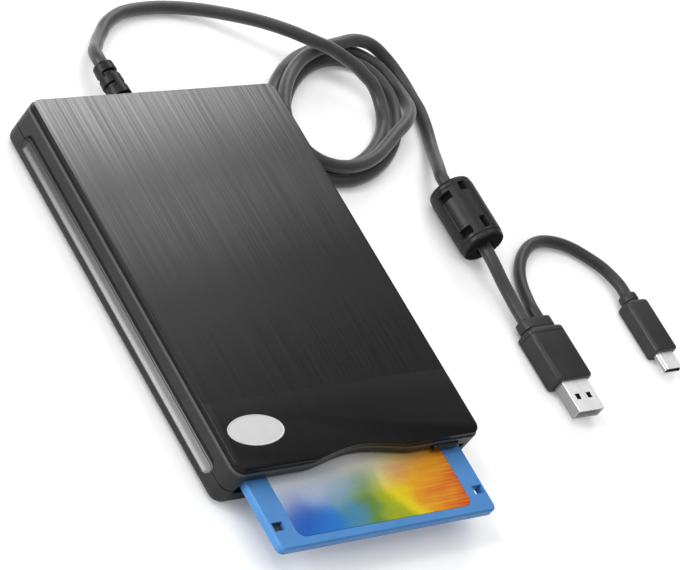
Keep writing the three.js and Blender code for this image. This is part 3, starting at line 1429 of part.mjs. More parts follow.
addAll('lead', [
  ['strain_relief', turnedLengthways(reliefProfile(), relief.x, seam, 20), finishes.overmould],
  ['cord_lead', makeLead(), finishes.cord],
  ['cord_coil', makeCoil(), finishes.cord],
  ['cord_run', makeRun(), finishes.cord],
  ['ferrite', makeFerrite(), finishes.overmould],
  ['cord_tail', makeTail(), finishes.cord],
  ['usb_a_body', makeOvermould(plugA), finishes.overmould],
  ['usb_a_shell', makeShellA(), finishes.steel],
  ['usb_a_tongue', makeTongue(plugA, plugA.wall * 2), finishes.tongue],
  ['cord_pigtail', makePigtail(), finishes.cord],
  ['usb_c_body', makeOvermould(plugC), finishes.overmould],
  ['usb_c_shell', makePlugShell(plugC), finishes.steel],
  ['usb_c_tongue', makeTongue(plugC, 0), finishes.tongue],
]);

drive.position.y = baseShift;
console.log(`least gap of the coil to itself: ${leastCoilGap().toFixed(2)} mm`);

export default drive;
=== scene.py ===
"""An external floppy disk drive with a disc half out of its slot, a coiled lead, a ferrite and two plugs.

All lengths are metres. The drive stands on z = 0 with its slot towards -Y. Pieces that are new here are
surfaces worked out with numpy: a profile turned about an axis, a loop carried through stations, or a circle
carried along a curve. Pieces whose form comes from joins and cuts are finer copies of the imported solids.
"""
import logging
import math
from collections.abc import Sequence
from dataclasses import dataclass
from enum import Enum

import bmesh
import bpy
import numpy as np
from mathutils import Matrix, Vector


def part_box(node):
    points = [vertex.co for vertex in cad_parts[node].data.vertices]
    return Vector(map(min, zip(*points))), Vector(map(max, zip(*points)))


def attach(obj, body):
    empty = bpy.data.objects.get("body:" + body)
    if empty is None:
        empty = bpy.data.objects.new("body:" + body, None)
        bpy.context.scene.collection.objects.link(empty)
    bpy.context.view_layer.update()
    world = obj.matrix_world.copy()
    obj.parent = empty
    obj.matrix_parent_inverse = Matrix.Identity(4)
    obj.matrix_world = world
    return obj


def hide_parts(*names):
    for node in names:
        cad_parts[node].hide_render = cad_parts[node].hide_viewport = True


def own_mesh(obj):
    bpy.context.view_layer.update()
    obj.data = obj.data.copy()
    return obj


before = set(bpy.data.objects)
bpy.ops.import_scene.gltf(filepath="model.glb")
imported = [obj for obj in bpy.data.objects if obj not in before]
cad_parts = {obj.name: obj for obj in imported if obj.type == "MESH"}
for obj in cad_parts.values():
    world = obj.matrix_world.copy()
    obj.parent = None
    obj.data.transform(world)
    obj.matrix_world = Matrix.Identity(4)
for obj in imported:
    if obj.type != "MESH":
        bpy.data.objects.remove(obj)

Colour = tuple[float, float, float]
Point = tuple[float, float, float]
Pair = tuple[float, float]
Stops = tuple[tuple[float, Colour], ...]
Socket = bpy.types.NodeSocket
Source = Socket | float | Colour

LOG = logging.getLogger("floppy_drive")
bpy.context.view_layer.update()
MM = 0.001
UNIT: Pair = (0.0, 1.0)
FALLING: Pair = (1.0, 0.0)
NOISE_SPAN: Pair = (0.3, 0.7)      # where most values of a noise lie
LINE_SPAN: Pair = (0.35, 0.65)     # the same for drawn lines and fibres
FERRITE_AXIS: Pair = (0.1104, 0.0078)
LARGE_PLUG_AXIS: Pair = (0.116, 0.004)
SMALL_PLUG_AXIS: Pair = (0.167, 0.0032)


def grey(level: float) -> Colour:
    """Gives a grey of one level."""
    return (level, level, level)


# Photograph's camera, lights and floor
@dataclass(frozen=True)
class Lamp:
    """One soft rectangular lamp."""

    name: str
    place: Point
    width: float
    height: float
    power: float

    def hang(self, aim: Point) -> None:
        """Puts the lamp into the scene with its face to a point.

        Args:
            aim: the point that it faces.
        """
        data = bpy.data.lights.new(self.name, "AREA")
        data.shape = "RECTANGLE"
        data.size = self.width
        data.size_y = self.height
        data.energy = self.power
        lamp = bpy.data.objects.new(self.name, data)
        away = np.array(self.place) - np.array(aim)
        lamp.rotation_mode = "QUATERNION"
        lamp.location = self.place
        lamp.rotation_quaternion = Vector(away.tolist()).to_track_quat("Z", "Y")
        bpy.context.scene.collection.objects.link(lamp)


@dataclass(frozen=True)
class Studio:
    """The photograph's viewpoint, five soft lamps, even light all round and a plain pale floor.

    The camera's place and its three directions come from the casing's corners.
    """

    image_width: int = 680
    focal_pixels: float = 3621.25
    sensor: float = 36.0
    far_limit: float = 20.0
    place: Point = (-0.74669, -0.43203, 0.70695)
    right: Point = (0.7188158, -0.4694339, 0.5127725)
    down: Point = (-0.0900678, -0.7942570, -0.6008690)
    forward: Point = (0.6893414, 0.3857299, -0.6132054)
    lamps: tuple[Lamp, ...] = (
        Lamp("overhead_lamp", (0.05, 0.1, 1.6), 1.6, 1.6, 11.0),
        Lamp("back_lamp", (0.8, 1.2, 0.95), 0.9, 0.7, 9.0),
        Lamp("left_lamp", (-1.25, 0.42, 0.36), 0.8, 0.62, 16.0),
        Lamp("edge_lamp", (-0.75, 0.5, 1.1), 0.35, 0.35, 4.0),
        Lamp("front_lamp", (-0.4, -1.3, 1.1), 1.0, 1.0, 3.0),
    )
    aim: Point = (0.04, 0.0, 0.0)
    ambient: float = 0.3
    floor_half: float = 3.0
    floor_drop: float = 0.0002
    floor_shade: float = 0.93
    floor_lift: float = 0.14

    def build(self) -> None:
        """Makes the camera, the lamps, the world and the floor."""
        self.make_camera()
        for lamp in self.lamps:
            lamp.hang(self.aim)
        self.make_world()
        self.make_floor()
        bpy.context.scene.view_settings.view_transform = "Standard"

    def make_camera(self) -> None:
        """Sets the camera at the photograph's viewpoint."""
        data = bpy.data.cameras.new("photo_camera")
        data.sensor_width = self.sensor
        data.lens = self.focal_pixels * self.sensor / self.image_width
        data.clip_end = self.far_limit
        camera = bpy.data.objects.new("photo_camera", data)
        turn = np.column_stack((self.right, -np.array(self.down), -np.array(self.forward)))
        camera.matrix_world = Matrix.LocRotScale(self.place, Matrix(turn.tolist()).to_quaternion(), None)
        bpy.context.scene.collection.objects.link(camera)
        bpy.context.scene.camera = camera

    def make_world(self) -> None:
        """Lights evenly, and shows white to the camera."""
        world = bpy.data.worlds.new("studio_world")
        bpy.context.scene.world = world
        world.use_nodes = True
        tree = world.node_tree
        background = tree.nodes["Background"]
        background.inputs["Color"].default_value = (1.0, 1.0, 1.0, 1.0)
        path = tree.nodes.new("ShaderNodeLightPath")
        strength = tree.nodes.new("ShaderNodeMapRange")
        strength.inputs["To Min"].default_value = self.ambient
        tree.links.new(path.outputs["Is Camera Ray"], strength.inputs["Value"])
        tree.links.new(strength.outputs["Result"], background.inputs["Strength"])

    def make_floor(self) -> None:
        """Lays one large pale sheet under the object; what the camera sees of it is lifted to white."""
        half = self.floor_half
        corners = [(-half, -half, 0), (half, -half, 0), (half, half, 0), (-half, half, 0)]
        mesh = bpy.data.meshes.new("floor")
        mesh.from_pydata(corners, [], [(0, 1, 2, 3)])
        finish = NodeTree("floor_paper")
        finish.set_inputs(Base_Color=grey(self.floor_shade), Roughness=0.9, Specular_IOR_Level=0.1,
                          Emission_Color=grey(1.0))
        seen = finish.add("ShaderNodeLightPath").outputs["Is Camera Ray"]
        finish.drive("Emission Strength", finish.spread(seen, UNIT, (0.0, self.floor_lift)))
        floor = bpy.data.objects.new("floor", mesh)
        floor.data.materials.append(finish.material)
        bpy.context.scene.collection.objects.link(floor)
        floor.location.z = -self.floor_drop


# Node trees of the finishes
class NodeTree:
    """One material, built from nodes that read the piece's own coordinates."""

    def __init__(self, name: str) -> None:
        """Starts a material with only its surface shader and output.

        Args:
            name: the material's name.
        """
        self.material = bpy.data.materials.new(name)
        self.material.use_nodes = True
        self.tree = self.material.node_tree
        self.shader = self.tree.nodes["Principled BSDF"]

    def feed(self, socket: Socket, source: Source) -> None:
        """Links a socket to another, or writes a number, place or colour into it.

        Args:
            socket: the socket that is fed.
            source: a socket, a number, or three numbers.
        """
        if isinstance(source, bpy.types.NodeSocket):
            self.tree.links.new(source, socket)
        else:
            socket.default_value = (*source, 1.0) if socket.type == "RGBA" else source

    def set_inputs(self, **values: float | Colour) -> None:
        """Writes constants into the shader's own sockets.

        Args:
            values: a number or colour for each socket; an underscore in its name stands for a space.
        """
        for name, value in values.items():
            self.feed(self.shader.inputs[name.replace("_", " ")], value)

    def drive(self, socket: str, source: Socket) -> None:
        """Feeds one of the shader's sockets from another node."""
        self.feed(self.shader.inputs[socket], source)

    def add(self, kind: str, inputs: dict[str, Source] | None = None, **settings: object) -> bpy.types.Node:
        """Adds a node.

        Args:
            kind: the node's type.
            inputs: what feeds its sockets, by name.
            settings: its properties.

        Returns:
            The node.
        """
        node = self.tree.nodes.new(kind)
        for name, value in settings.items():
            setattr(node, name, value)
        for name, source in (inputs or {}).items():
            self.feed(node.inputs[name], source)
        return node

    def coordinates(self, scale: Point = (1.0, 1.0, 1.0), output: str = "Object",
                    shift: Point = (0.0, 0.0, 0.0), turn: float = 0.0) -> Socket:
        """Gives the piece's coordinates, stretched, then turned about Z, then moved.

        Args:
            scale: how much each of them is stretched.
            output: which coordinates they are.
            shift: how far they are moved.
            turn: the turn in radians.

        Returns:
            The coordinates.
        """
        source = self.add("ShaderNodeTexCoord").outputs[output]
        mapping = self.add("ShaderNodeMapping", {
            "Vector": source, "Location": shift, "Rotation": (0.0, 0.0, turn), "Scale": scale,
        })
        return mapping.outputs["Vector"]

    def noise(self, vector: Socket, scale: float, detail: float = 2.0) -> Socket:
        """Makes a cloudy value.

        Args:
            vector: the coordinates.
            scale: clouds to a metre.
            detail: how many finer layers it has.

        Returns:
            A value from 0 to 1.
        """
        return self.add("ShaderNodeTexNoise", {"Vector": vector, "Scale": scale, "Detail": detail}).outputs["Fac"]

    def cells(self, vector: Socket, scale: float) -> Socket:
        """Makes a value from scattered points.

        Args:
            vector: the coordinates.
            scale: points to a metre.

        Returns:
            The distance to the nearest point.
        """
        return self.add("ShaderNodeTexVoronoi", {"Vector": vector, "Scale": scale}).outputs["Distance"]

    def axis(self, vector: Socket, letter: str) -> Socket:
        """Picks one coordinate.

        Args:
            vector: the coordinates.
            letter: X, Y or Z.

        Returns:
            That coordinate.
        """
        return self.add("ShaderNodeSeparateXYZ", {"Vector": vector}).outputs[letter]

    def combine(self, operation: str, first: Source, second: Source) -> Socket:
        """Works out one sum with two values.

        Args:
            operation: the sum's name.
            first: a socket or a number.
            second: a socket or a number.

        Returns:
            The result.
        """
        node = self.add("ShaderNodeMath", operation=operation)
        self.feed(node.inputs[0], first)
        self.feed(node.inputs[1], second)
        return node.outputs["Value"]

    def times(self, first: Socket, *others: Source) -> Socket:
        """Multiplies values.

        Args:
            first: the first of them.
            others: sockets or numbers.

        Returns:
            Their product.
        """
        for other in others:
            first = self.combine("MULTIPLY", first, other)
        return first

    def plus(self, first: Socket, second: Socket, share: float) -> Socket:
        """Adds a share of one value to another.

        Args:
            first: what is added to.
            second: what is added.
            share: how much of it, below zero to take it away.

        Returns:
            The sum.
        """
        return self.combine("ADD", first, self.times(second, share))

    def distance(self, vector: Socket, letter: str, middle: float = 0.0) -> Socket:
        """Tells how far one coordinate is from a middle, on either side of it.

        Args:
            vector: the coordinates.
            letter: X, Y or Z.
            middle: where the distance is 0.

        Returns:
            The distance.
        """
        return self.combine("ABSOLUTE", self.combine("SUBTRACT", self.axis(vector, letter), middle), 0.0)

    def spread(self, value: Socket, source: Pair, target: Pair = UNIT, soft: bool = False) -> Socket:
        """Maps one range of a value to another, held at its ends.

        Args:
            value: what is mapped.
            source: the range of the value.
            target: the range that it becomes.
            soft: whether the two ends are eased.

        Returns:
            The mapped value.
        """
        node = self.add("ShaderNodeMapRange", {
            "Value": value, "From Min": source[0], "From Max": source[1], "To Min": target[0], "To Max": target[1],
        }, interpolation_type="SMOOTHSTEP" if soft else "LINEAR")
        return node.outputs["Result"]

    def band(self, value: Socket, low: float, high: float, blur: Pair) -> Socket:
        """Makes a mask that is 1 between two levels.

        Args:
            value: what is masked.
            low: where the mask starts to rise.
            high: where it has fallen again.
            blur: how long it rises, and how long it falls.

        Returns:
            A value from 0 to 1.
        """
        return self.times(self.spread(value, (low, low + blur[0])), self.spread(value, (high - blur[1], high), FALLING))

    def ramp(self, factor: Socket, stops: Stops) -> Socket:
        """Turns a value into a colour through stops.

        Args:
            factor: the value.
            stops: places from 0 to 1 with their colours.

        Returns:
            The colour.
        """
        node = self.add("ShaderNodeValToRGB", {"Fac": factor})
        node.color_ramp.interpolation = "EASE"
        elements = node.color_ramp.elements
        while len(elements) < len(stops):
            elements.new(0.5)
        for element, (position, colour) in zip(elements, stops):
            element.position = position
            element.color = (*colour, 1.0)
        return node.outputs["Color"]

    def shades(self, factor: Socket, colour: Colour, low: float, high: float, span: Pair = NOISE_SPAN) -> Socket:
        """Runs a colour from one multiple of itself to another.

        Args:
            factor: the value that it follows.
            colour: the colour.
            low: the first multiple.
            high: the second, held to 1 in each part.
            span: the values at which the two stand.

        Returns:
            The shaded colour.
        """
        dark, light = (tuple(min(1.0, part * multiple) for part in colour) for multiple in (low, high))
        return self.ramp(factor, ((span[0], dark), (span[1], light)))

    def mix(self, factor: Source, first: Source, second: Source, blend: str = "MIX") -> Socket:
        """Blends two colours.

        Args:
            factor: the share of the second.
            first: a socket or a colour.
            second: a socket or a colour.
            blend: the kind of blend.

        Returns:
            The blended colour.
        """
        node = self.add("ShaderNodeMix", data_type="RGBA", blend_type=blend)
        colours = [socket for socket in node.inputs if socket.type == "RGBA"]
        self.feed(node.inputs["Factor"], factor)
        self.feed(colours[0], first)
        self.feed(colours[1], second)
        return next(socket for socket in node.outputs if socket.type == "RGBA")

    def bump(self, height: Socket, distance: float, strength: float = 1.0) -> None:
        """Tilts the surface's normal by a relief.

        Args:
            height: the relief from 0 to 1.
            distance: what 1 stands for, in metres.
            strength: how much of it shows.
        """
        node = self.add("ShaderNodeBump", {"Strength": strength, "Distance": distance, "Height": height})
        self.drive("Normal", node.outputs["Normal"])


@dataclass(frozen=True)
class Moulding:
    """Moulded plastic or rubber with a fine spark-eroded grain and faint clouding."""

    name: str
    colour: Colour
    roughness: float = 0.5
    grain: float = 2600.0
    relief: float = 0.00003
    clouding: float = 0.12
    specular: float = 0.5
    cloud_scale: float = 90.0
    uneven: float = 0.06

    def make(self) -> bpy.types.Material:
        """Builds the material: clouds change its shade, and the grain its roughness and relief.

        Returns:
            The material.
        """
        tree = NodeTree(self.name)
        tree.set_inputs(Specular_IOR_Level=self.specular)
        place = tree.coordinates()
        cloud = tree.noise(place, self.cloud_scale, 3.0)
        fine = tree.noise(place, self.grain)
        rough = (max(0.05, self.roughness - self.uneven), min(1.0, self.roughness + self.uneven))
        tree.drive("Base Color", tree.shades(cloud, self.colour, 1.0 - self.clouding, 1.0 + self.clouding))
        tree.drive("Roughness", tree.spread(fine, NOISE_SPAN, rough))
        tree.bump(tree.plus(fine, cloud, 0.4), self.relief)
        return tree.material


@dataclass(frozen=True)
class CasingShell:
    """The casing's grained plastic, with a groove along both sides and a painted highlight on its top rim.

    The groove is polished from below to just above the line where the covers meet, with a painted reflection on it, and
    black with painted shade over that.
    """

    name: str = "casing_plastic"
    colour: Colour = (0.011, 0.011, 0.0118)
    # the next three colours are painted light: a reflection on the groove's lower half, shade in its upper half and a
    # highlight along the top rim
    painted_reflection: Colour = (0.13, 0.13, 0.132)
    shadow: Colour = (0.0015, 0.0015, 0.0016)
    rim_highlight: Colour = (0.055, 0.055, 0.056)
    floor_of_groove: float = 0.0496
    outer_wall: float = 0.05095
    wall_blur: float = 0.0002
    seam: float = 0.00775
    strip_rise: float = 0.0009
    groove_half: float = 0.0034
    groove_middle: float = 0.012
    groove_reach: float = 0.0622
    end_blur: float = 0.0012
    edge_blur: float = 0.0003
    top_blur: float = 0.0004
    rim: float = 0.0147
    # where the painted reflection runs from dim at the back to full towards the front
    reflection_run: Pair = (0.078, -0.03)

    def make(self) -> bpy.types.Material:
        """Builds the material: a mask for each half of the groove, and one for the rim, which carry a painted
        reflection, painted shade and a painted highlight.

        Returns:
            The material.
        """
        tree = NodeTree(self.name)
        place = tree.coordinates()
        high = tree.axis(place, "Z")
        out = tree.distance(place, "X")
        far = tree.distance(place, "Y", self.groove_middle)
        groove = tree.times(
            tree.band(out, self.floor_of_groove, self.outer_wall, (self.wall_blur, self.wall_blur)),
            tree.spread(far, (self.groove_reach, self.groove_reach + self.end_blur), FALLING),
        )
        low, split, top = self.seam - self.groove_half, self.seam + self.strip_rise, self.seam + self.groove_half
        # the lower half carries the painted reflection, the upper half the painted shade
        lower = tree.times(tree.band(high, low, split, (self.edge_blur, self.edge_blur)), groove)
        upper = tree.times(tree.band(high, split, top, (self.edge_blur, self.top_blur)), groove)
        # the rim mask carries a painted highlight
        rim = tree.spread(high, (self.rim, self.rim + self.edge_blur))
        cloud = tree.noise(place, 90.0, 3.0)
        fine = tree.noise(place, 3200.0)
        # painted reflection on the groove's lower half, dim at the back and full towards the front, then painted shade
        # over the upper half and a painted highlight on the rim; the painted shade also lowers the specular level
        run = tree.spread(tree.axis(place, "Y"), self.reflection_run)
        reflection_strip = tree.mix(run, tuple(part * 0.2 for part in self.painted_reflection), self.painted_reflection)
        colour = tree.mix(lower, tree.shades(cloud, self.colour, 0.85, 1.2), reflection_strip)
        colour = tree.mix(upper, colour, self.shadow)
        tree.drive("Base Color", tree.mix(rim, colour, self.rim_highlight))
        shine = tree.times(lower, tree.spread(run, UNIT, (0.08, 0.5)))
        tree.drive("Specular IOR Level", tree.combine("ADD", shine, tree.spread(upper, UNIT, (0.34, 0.14))))
        tree.drive("Roughness", tree.plus(tree.spread(fine, NOISE_SPAN, (0.36, 0.46)), lower, -0.1))
        tree.bump(tree.plus(fine, cloud, 0.4), 0.00003)
        return tree.material


@dataclass(frozen=True)
class PlugShell:
    """A plug's bright tinned shell, greyed by painted shade on its narrow sides and black with painted shade in its
    hollow.

    Its skin and its narrow sides are told by their distance from the middle, as a share of the half sizes.
    """

    name: str
    centre: Pair
    half: Pair
    colour: Colour = (0.93, 0.93, 0.935)
    # painted shade of the narrow sides, then of the hollow
    side: float = 0.3
    hollow_shade: float = 0.004
    metallic: float = 0.35
    skin: Pair = (0.97, 1.0)
    side_skin: Pair = (1.033, 1.045)
    lines: Point = (700.0, 40.0, 700.0)

    def make(self) -> bpy.types.Material:
        """Builds the material: the larger of the two shares tells inside from outside.

        Returns:
            The material.
        """
        tree = NodeTree(self.name)
        place = tree.coordinates()
        across, up = (
            tree.combine("DIVIDE", tree.distance(place, letter, middle), half)
            for letter, middle, half in zip("XZ", self.centre, self.half)
        )
        outside = tree.spread(tree.combine("MAXIMUM", across, up), self.skin)
        lines = tree.noise(tree.coordinates(self.lines), 1.0)
        bright = tree.shades(lines, self.colour, 0.94, 1.0, LINE_SPAN)
        # painted shade on the narrow sides
        bright = tree.mix(tree.spread(across, self.side_skin), bright, grey(self.side))
        # painted shade in the hollow
        tree.drive("Base Color", tree.mix(outside, grey(self.hollow_shade), bright))
        tree.drive("Metallic", tree.spread(outside, UNIT, (0.0, self.metallic)))
        tree.drive("Roughness", tree.plus(tree.spread(outside, UNIT, (0.85, 0.24)), lines, 0.1))
        return tree.material


@dataclass(frozen=True)
class Metal:
    """Bare metal with drawn or turned lines and small changes of shade."""

    name: str
    colour: Colour
    roughness: float = 0.3
    lines: Point = (900.0, 30.0, 900.0)
    contrast: float = 0.12
    relief: float = 0.000012
    metallic: float = 1.0
    cloud_scale: float = 70.0

    def make(self) -> bpy.types.Material:
        """Builds the material: its shade is three parts of lines and two of clouds.

        Returns:
            The material.
        """
        tree = NodeTree(self.name)
        tree.set_inputs(Metallic=self.metallic)
        lines = tree.noise(tree.coordinates(self.lines), 1.0, 3.0)
        cloud = tree.noise(tree.coordinates(), self.cloud_scale)
        shade = tree.plus(tree.times(lines, 0.6), cloud, 0.4)
        tree.drive("Base Color", tree.shades(shade, self.colour, 1.0 - self.contrast, 1.0 + self.contrast, LINE_SPAN))
        tree.drive("Roughness", tree.spread(lines, NOISE_SPAN, (self.roughness * 0.8, self.roughness * 1.25)))
        tree.bump(lines, self.relief)
        return tree.material


@dataclass(frozen=True)
class BrushedPanel:
    """The top plate: brushed lengthways, with a painted reflection that pales it to the back and left, and a smooth
    dark band at the front with painted shade deepening towards the front edge.
    """

    name: str = "brushed_panel"
    front: float = -0.0575
    band_end: float = -0.0333
    # where the painted reflection is palest
    palest: float = 0.0935
    top: float = 0.01722
    border: float = 0.0499
    slant: float = 0.12
    thin_lines: Point = (5200.0, 20.0, 1.0)
    broad_lines: Point = (1100.0, 12.0, 1.0)
    broad_share: float = 0.24
    side_colour: Colour = (0.004, 0.004, 0.0045)
    # painted reflection: from dark at the band to palest at the back and left
    tones: Stops = (
        (0.0, (0.006, 0.006, 0.0063)), (0.3, (0.013, 0.013, 0.0134)), (0.62, (0.05, 0.05, 0.051)),
        (1.0, (0.2, 0.201, 0.203)),
    )
    # the band's own dark, with painted shade deepening towards the front edge
    band_tones: Stops = (
        (0.0, (0.002, 0.002, 0.0022)), (0.6, (0.006, 0.006, 0.0063)), (1.0, (0.0145, 0.0145, 0.015)),
    )

    def make(self) -> bpy.types.Material:
        """Builds the material: a painted reflection by place, thin and broad brush lines, a dark band with painted
        shade and glossy black sides.

        Returns:
            The material.
        """
        tree = NodeTree(self.name)
        tree.set_inputs(Metallic=0.2, Specular_IOR_Level=0.25)
        place = tree.coordinates()
        along = tree.axis(place, "Y")
        # painted reflection by place, along a line slanted so that the left is paler
        slanted = tree.plus(along, tree.axis(place, "X"), -self.slant)
        reflection_tone = tree.ramp(tree.spread(slanted, (self.band_end, self.palest)), self.tones)
        thin = tree.noise(tree.coordinates(self.thin_lines), 1.0, 3.0)
        broad = tree.noise(tree.coordinates(self.broad_lines), 1.0)
        lines = tree.plus(tree.times(thin, 1.0 - self.broad_share), broad, self.broad_share)
        brushed = tree.mix(1.0, reflection_tone, tree.mix(tree.spread(lines, (0.36, 0.64)), grey(0.42), grey(1.85)), "MULTIPLY")
        # the dark band, with painted shade towards the front edge
        dark = tree.ramp(tree.spread(along, (self.front, self.band_end)), self.band_tones)
        behind = tree.spread(along, (self.band_end - 0.00015, self.band_end + 0.00015))
        above = tree.times(
            tree.spread(tree.axis(place, "Z"), (self.top - 0.0001, self.top + 0.0001)),
            tree.spread(tree.distance(place, "X"), (self.border, self.border + 0.0002), FALLING),
        )
        tree.drive("Base Color", tree.mix(above, self.side_colour, tree.mix(behind, dark, brushed)))
        tree.drive("Roughness", tree.times(
            tree.spread(lines, NOISE_SPAN, (0.34, 0.5)), tree.spread(behind, UNIT, (0.75, 1.0)),
            tree.spread(above, UNIT, (0.8, 1.0)),
        ))
        tree.bump(tree.times(lines, behind), 0.00002, 0.7)
        return tree.material


@dataclass(frozen=True)
class PrintedLabel:
    """The disc's paper label: pale at the back, with a plain run of colours towards the outer end."""

    name: str = "printed_label"
    left: float = -0.0362
    width: float = 0.0724
    outer: float = -0.07895
    colours_end: Pair = (0.008, 0.027)
    bend: float = 0.008
    streak: Colour = (0.7, 0.45, 0.01)
    streak_turn: float = -14.0
    streak_lines: Point = (45.0, 1300.0, 1.0)
    hues: Stops = (
        (0.0, (0.003, 0.08, 0.38)), (0.2, (0.008, 0.14, 0.46)), (0.34, (0.05, 0.2, 0.3)),
        (0.45, (0.09, 0.2, 0.04)), (0.56, (0.27, 0.33, 0.004)), (0.68, (0.62, 0.5, 0.001)),
        (0.82, (0.62, 0.24, 0.004)), (1.0, (0.5, 0.03, 0.006)),
    )
    pales: Stops = ((0.0, (0.46, 0.5, 0.56)), (0.5, (0.56, 0.57, 0.57)), (1.0, (0.52, 0.27, 0.1)))

    def make(self) -> bpy.types.Material:
        """Builds the material: hue runs across the label, and its depth of colour falls towards the back.

        A soft wave bends both, and thin slanted streaks lie over the right half.

        Returns:
            The material.
        """
        tree = NodeTree(self.name)
        tree.set_inputs(Specular_IOR_Level=0.3)
        place = tree.coordinates()
        wave = tree.noise(tree.coordinates((40.0, 60.0, 1.0)), 1.0, 1.5)
        bend = tree.spread(wave, NOISE_SPAN, (-self.bend, self.bend))
        across = tree.combine("ADD", tree.axis(place, "X"), bend)
        along = tree.plus(tree.axis(place, "Y"), bend, 0.6)
        share = tree.spread(across, (self.left, self.left + self.width))
        near, far = self.colours_end
        depth = tree.spread(tree.plus(along, across, -0.22), (self.outer + near, self.outer + far), soft=True)
        slanted = tree.coordinates(self.streak_lines, turn=math.radians(self.streak_turn))
        streaks = tree.spread(tree.noise(slanted, 1.0, 1.0), (0.42, 0.66))
        at_right = tree.spread(across, (-0.004, 0.03), (0.0, 0.34), soft=True)
        streaked = tree.mix(tree.times(streaks, at_right), tree.ramp(share, self.hues), self.streak)
        fibre = tree.noise(place, 1800.0, 3.0)
        worn = tree.add("ShaderNodeHueSaturation", {
            "Value": tree.spread(fibre, LINE_SPAN, (0.94, 1.05)),
            "Color": tree.mix(depth, streaked, tree.ramp(share, self.pales)),
        })
        tree.drive("Base Color", worn.outputs["Color"])
        tree.drive("Roughness", tree.spread(fibre, NOISE_SPAN, (0.3, 0.42)))
        tree.bump(fibre, 0.000008)
        return tree.material


@dataclass(frozen=True)
class CordSheath:
    """The lead's satin sheath: faint lines along its length and small scuffs, on the tube's own coordinates."""

    name: str = "cord_sheath"
    colour: Colour = (0.014, 0.014, 0.0144)
    sheen: float = 0.42
    lines: Point = (26.0, 8.0, 1.0)

    def make(self) -> bpy.types.Material:
        """Builds the material; a little sheen pales the sheath towards its outline.

        Returns:
            The material.
        """
        tree = NodeTree(self.name)
        tree.set_inputs(Specular_IOR_Level=0.45, Sheen_Weight=self.sheen, Sheen_Roughness=0.5)
        lines = tree.noise(tree.coordinates(self.lines, "UV"), 1.0)
        fine = tree.noise(tree.coordinates(), 2200.0)
        tree.drive("Base Color", tree.shades(lines, self.colour, 0.82, 1.22))
        tree.drive("Roughness", tree.spread(fine, NOISE_SPAN, (0.38, 0.5)))
        tree.bump(tree.plus(fine, lines, 0.5), 0.00003)
        return tree.material


@dataclass(frozen=True)
class CircuitBoard:
    """Green solder resist over copper tracks and bare pads."""

    name: str = "circuit_board"
    resist: Colour = (0.008, 0.1, 0.045)
    raised: Colour = (0.02, 0.2, 0.085)
    pad: Colour = (0.62, 0.6, 0.55)
    track_scale: float = 260.0
    pad_scale: float = 300.0
    pad_edge: Pair = (0.16, 0.2)

    def make(self) -> bpy.types.Material:
        """Builds the material: straight tracks from square cells, and round pads from scattered points.

        Returns:
            The material.
        """
        tree = NodeTree(self.name)
        tree.set_inputs(Coat_Weight=0.4, Coat_Roughness=0.2)
        place = tree.coordinates()
        tracks = tree.add("ShaderNodeTexBrick", {
            "Vector": place, "Scale": self.track_scale, "Mortar Size": 0.06, "Brick Width": 1.9, "Row Height": 0.32,
        }).outputs["Fac"]
        pads = tree.spread(tree.cells(place, self.pad_scale), self.pad_edge)
        tree.drive("Base Color", tree.mix(pads, self.pad, tree.mix(tracks, self.resist, self.raised)))
        tree.drive("Metallic", tree.spread(pads, UNIT, (0.9, 0.0)))
        tree.drive("Roughness", tree.spread(tree.noise(place, 500.0), NOISE_SPAN, (0.32, 0.5)))
        tree.bump(tracks, 0.00003)
        return tree.material


@dataclass(frozen=True)
class CoatedFilm:
    """The magnetic disc's brown coated film, polished in rings about its own middle."""

    name: str = "coated_film"
    middle_y: float = -0.03305
    ring_scale: float = 900.0
    waver: float = 0.6
    tones: Stops = ((0.0, (0.03, 0.015, 0.01)), (1.0, (0.05, 0.026, 0.018)))

    def make(self) -> bpy.types.Material:
        """Builds the material: fine rings round the hub.

        Returns:
            The material.
        """
        tree = NodeTree(self.name)
        tree.set_inputs(Coat_Weight=0.6, Coat_Roughness=0.08, Specular_IOR_Level=0.6)
        from_middle = tree.coordinates(shift=(0.0, -self.middle_y, 0.0))
        rings = tree.add("ShaderNodeTexWave", {
            "Vector": from_middle, "Scale": self.ring_scale, "Distortion": self.waver,
        }, wave_type="RINGS", rings_direction="Z").outputs["Fac"]
        tree.drive("Base Color", tree.ramp(rings, self.tones))
        tree.drive("Roughness", tree.spread(rings, UNIT, (0.16, 0.26)))
        return tree.material


@dataclass(frozen=True)
class FerriteCase:
    """The ferrite's moulded case, with painted shade black in its latch slots."""

    name: str = "ferrite_case"
    slot_radius: float = 0.0071
    slot_blur: float = 0.0002
    # painted shade in the latch slots
    slot_shade: float = 0.0005
    shades: Pair = (0.005, 0.011)

    def make(self) -> bpy.types.Material:
        """Builds the material: anything nearer to the core's axis than the slots' mouths is painted black as shade.

        The distance is the square root of the sum of the squares across and up.

        Returns:
            The material.
        """
        tree = NodeTree(self.name)
        tree.set_inputs(Specular_IOR_Level=0.28)
        place = tree.coordinates()
        across, up = (tree.distance(place, letter, middle) for letter, middle in zip("XZ", FERRITE_AXIS))
        squares = tree.combine("ADD", tree.times(across, across), tree.times(up, up))
        mouth = (self.slot_radius - self.slot_blur, self.slot_radius + self.slot_blur)
        outside = tree.spread(tree.combine("POWER", squares, 0.5), mouth)
        cloud = tree.noise(place, 140.0, 3.0)
        fine = tree.noise(place, 2000.0)
        case = tree.ramp(cloud, tuple((at, grey(shade)) for at, shade in zip(NOISE_SPAN, self.shades)))
        # painted shade inside the slots' mouths
        tree.drive("Base Color", tree.mix(outside, grey(self.slot_shade), case))
        tree.drive("Roughness", tree.spread(outside, UNIT, (0.95, 0.38)))
        tree.bump(tree.combine("ADD", fine, cloud), 0.00006)
        return tree.material


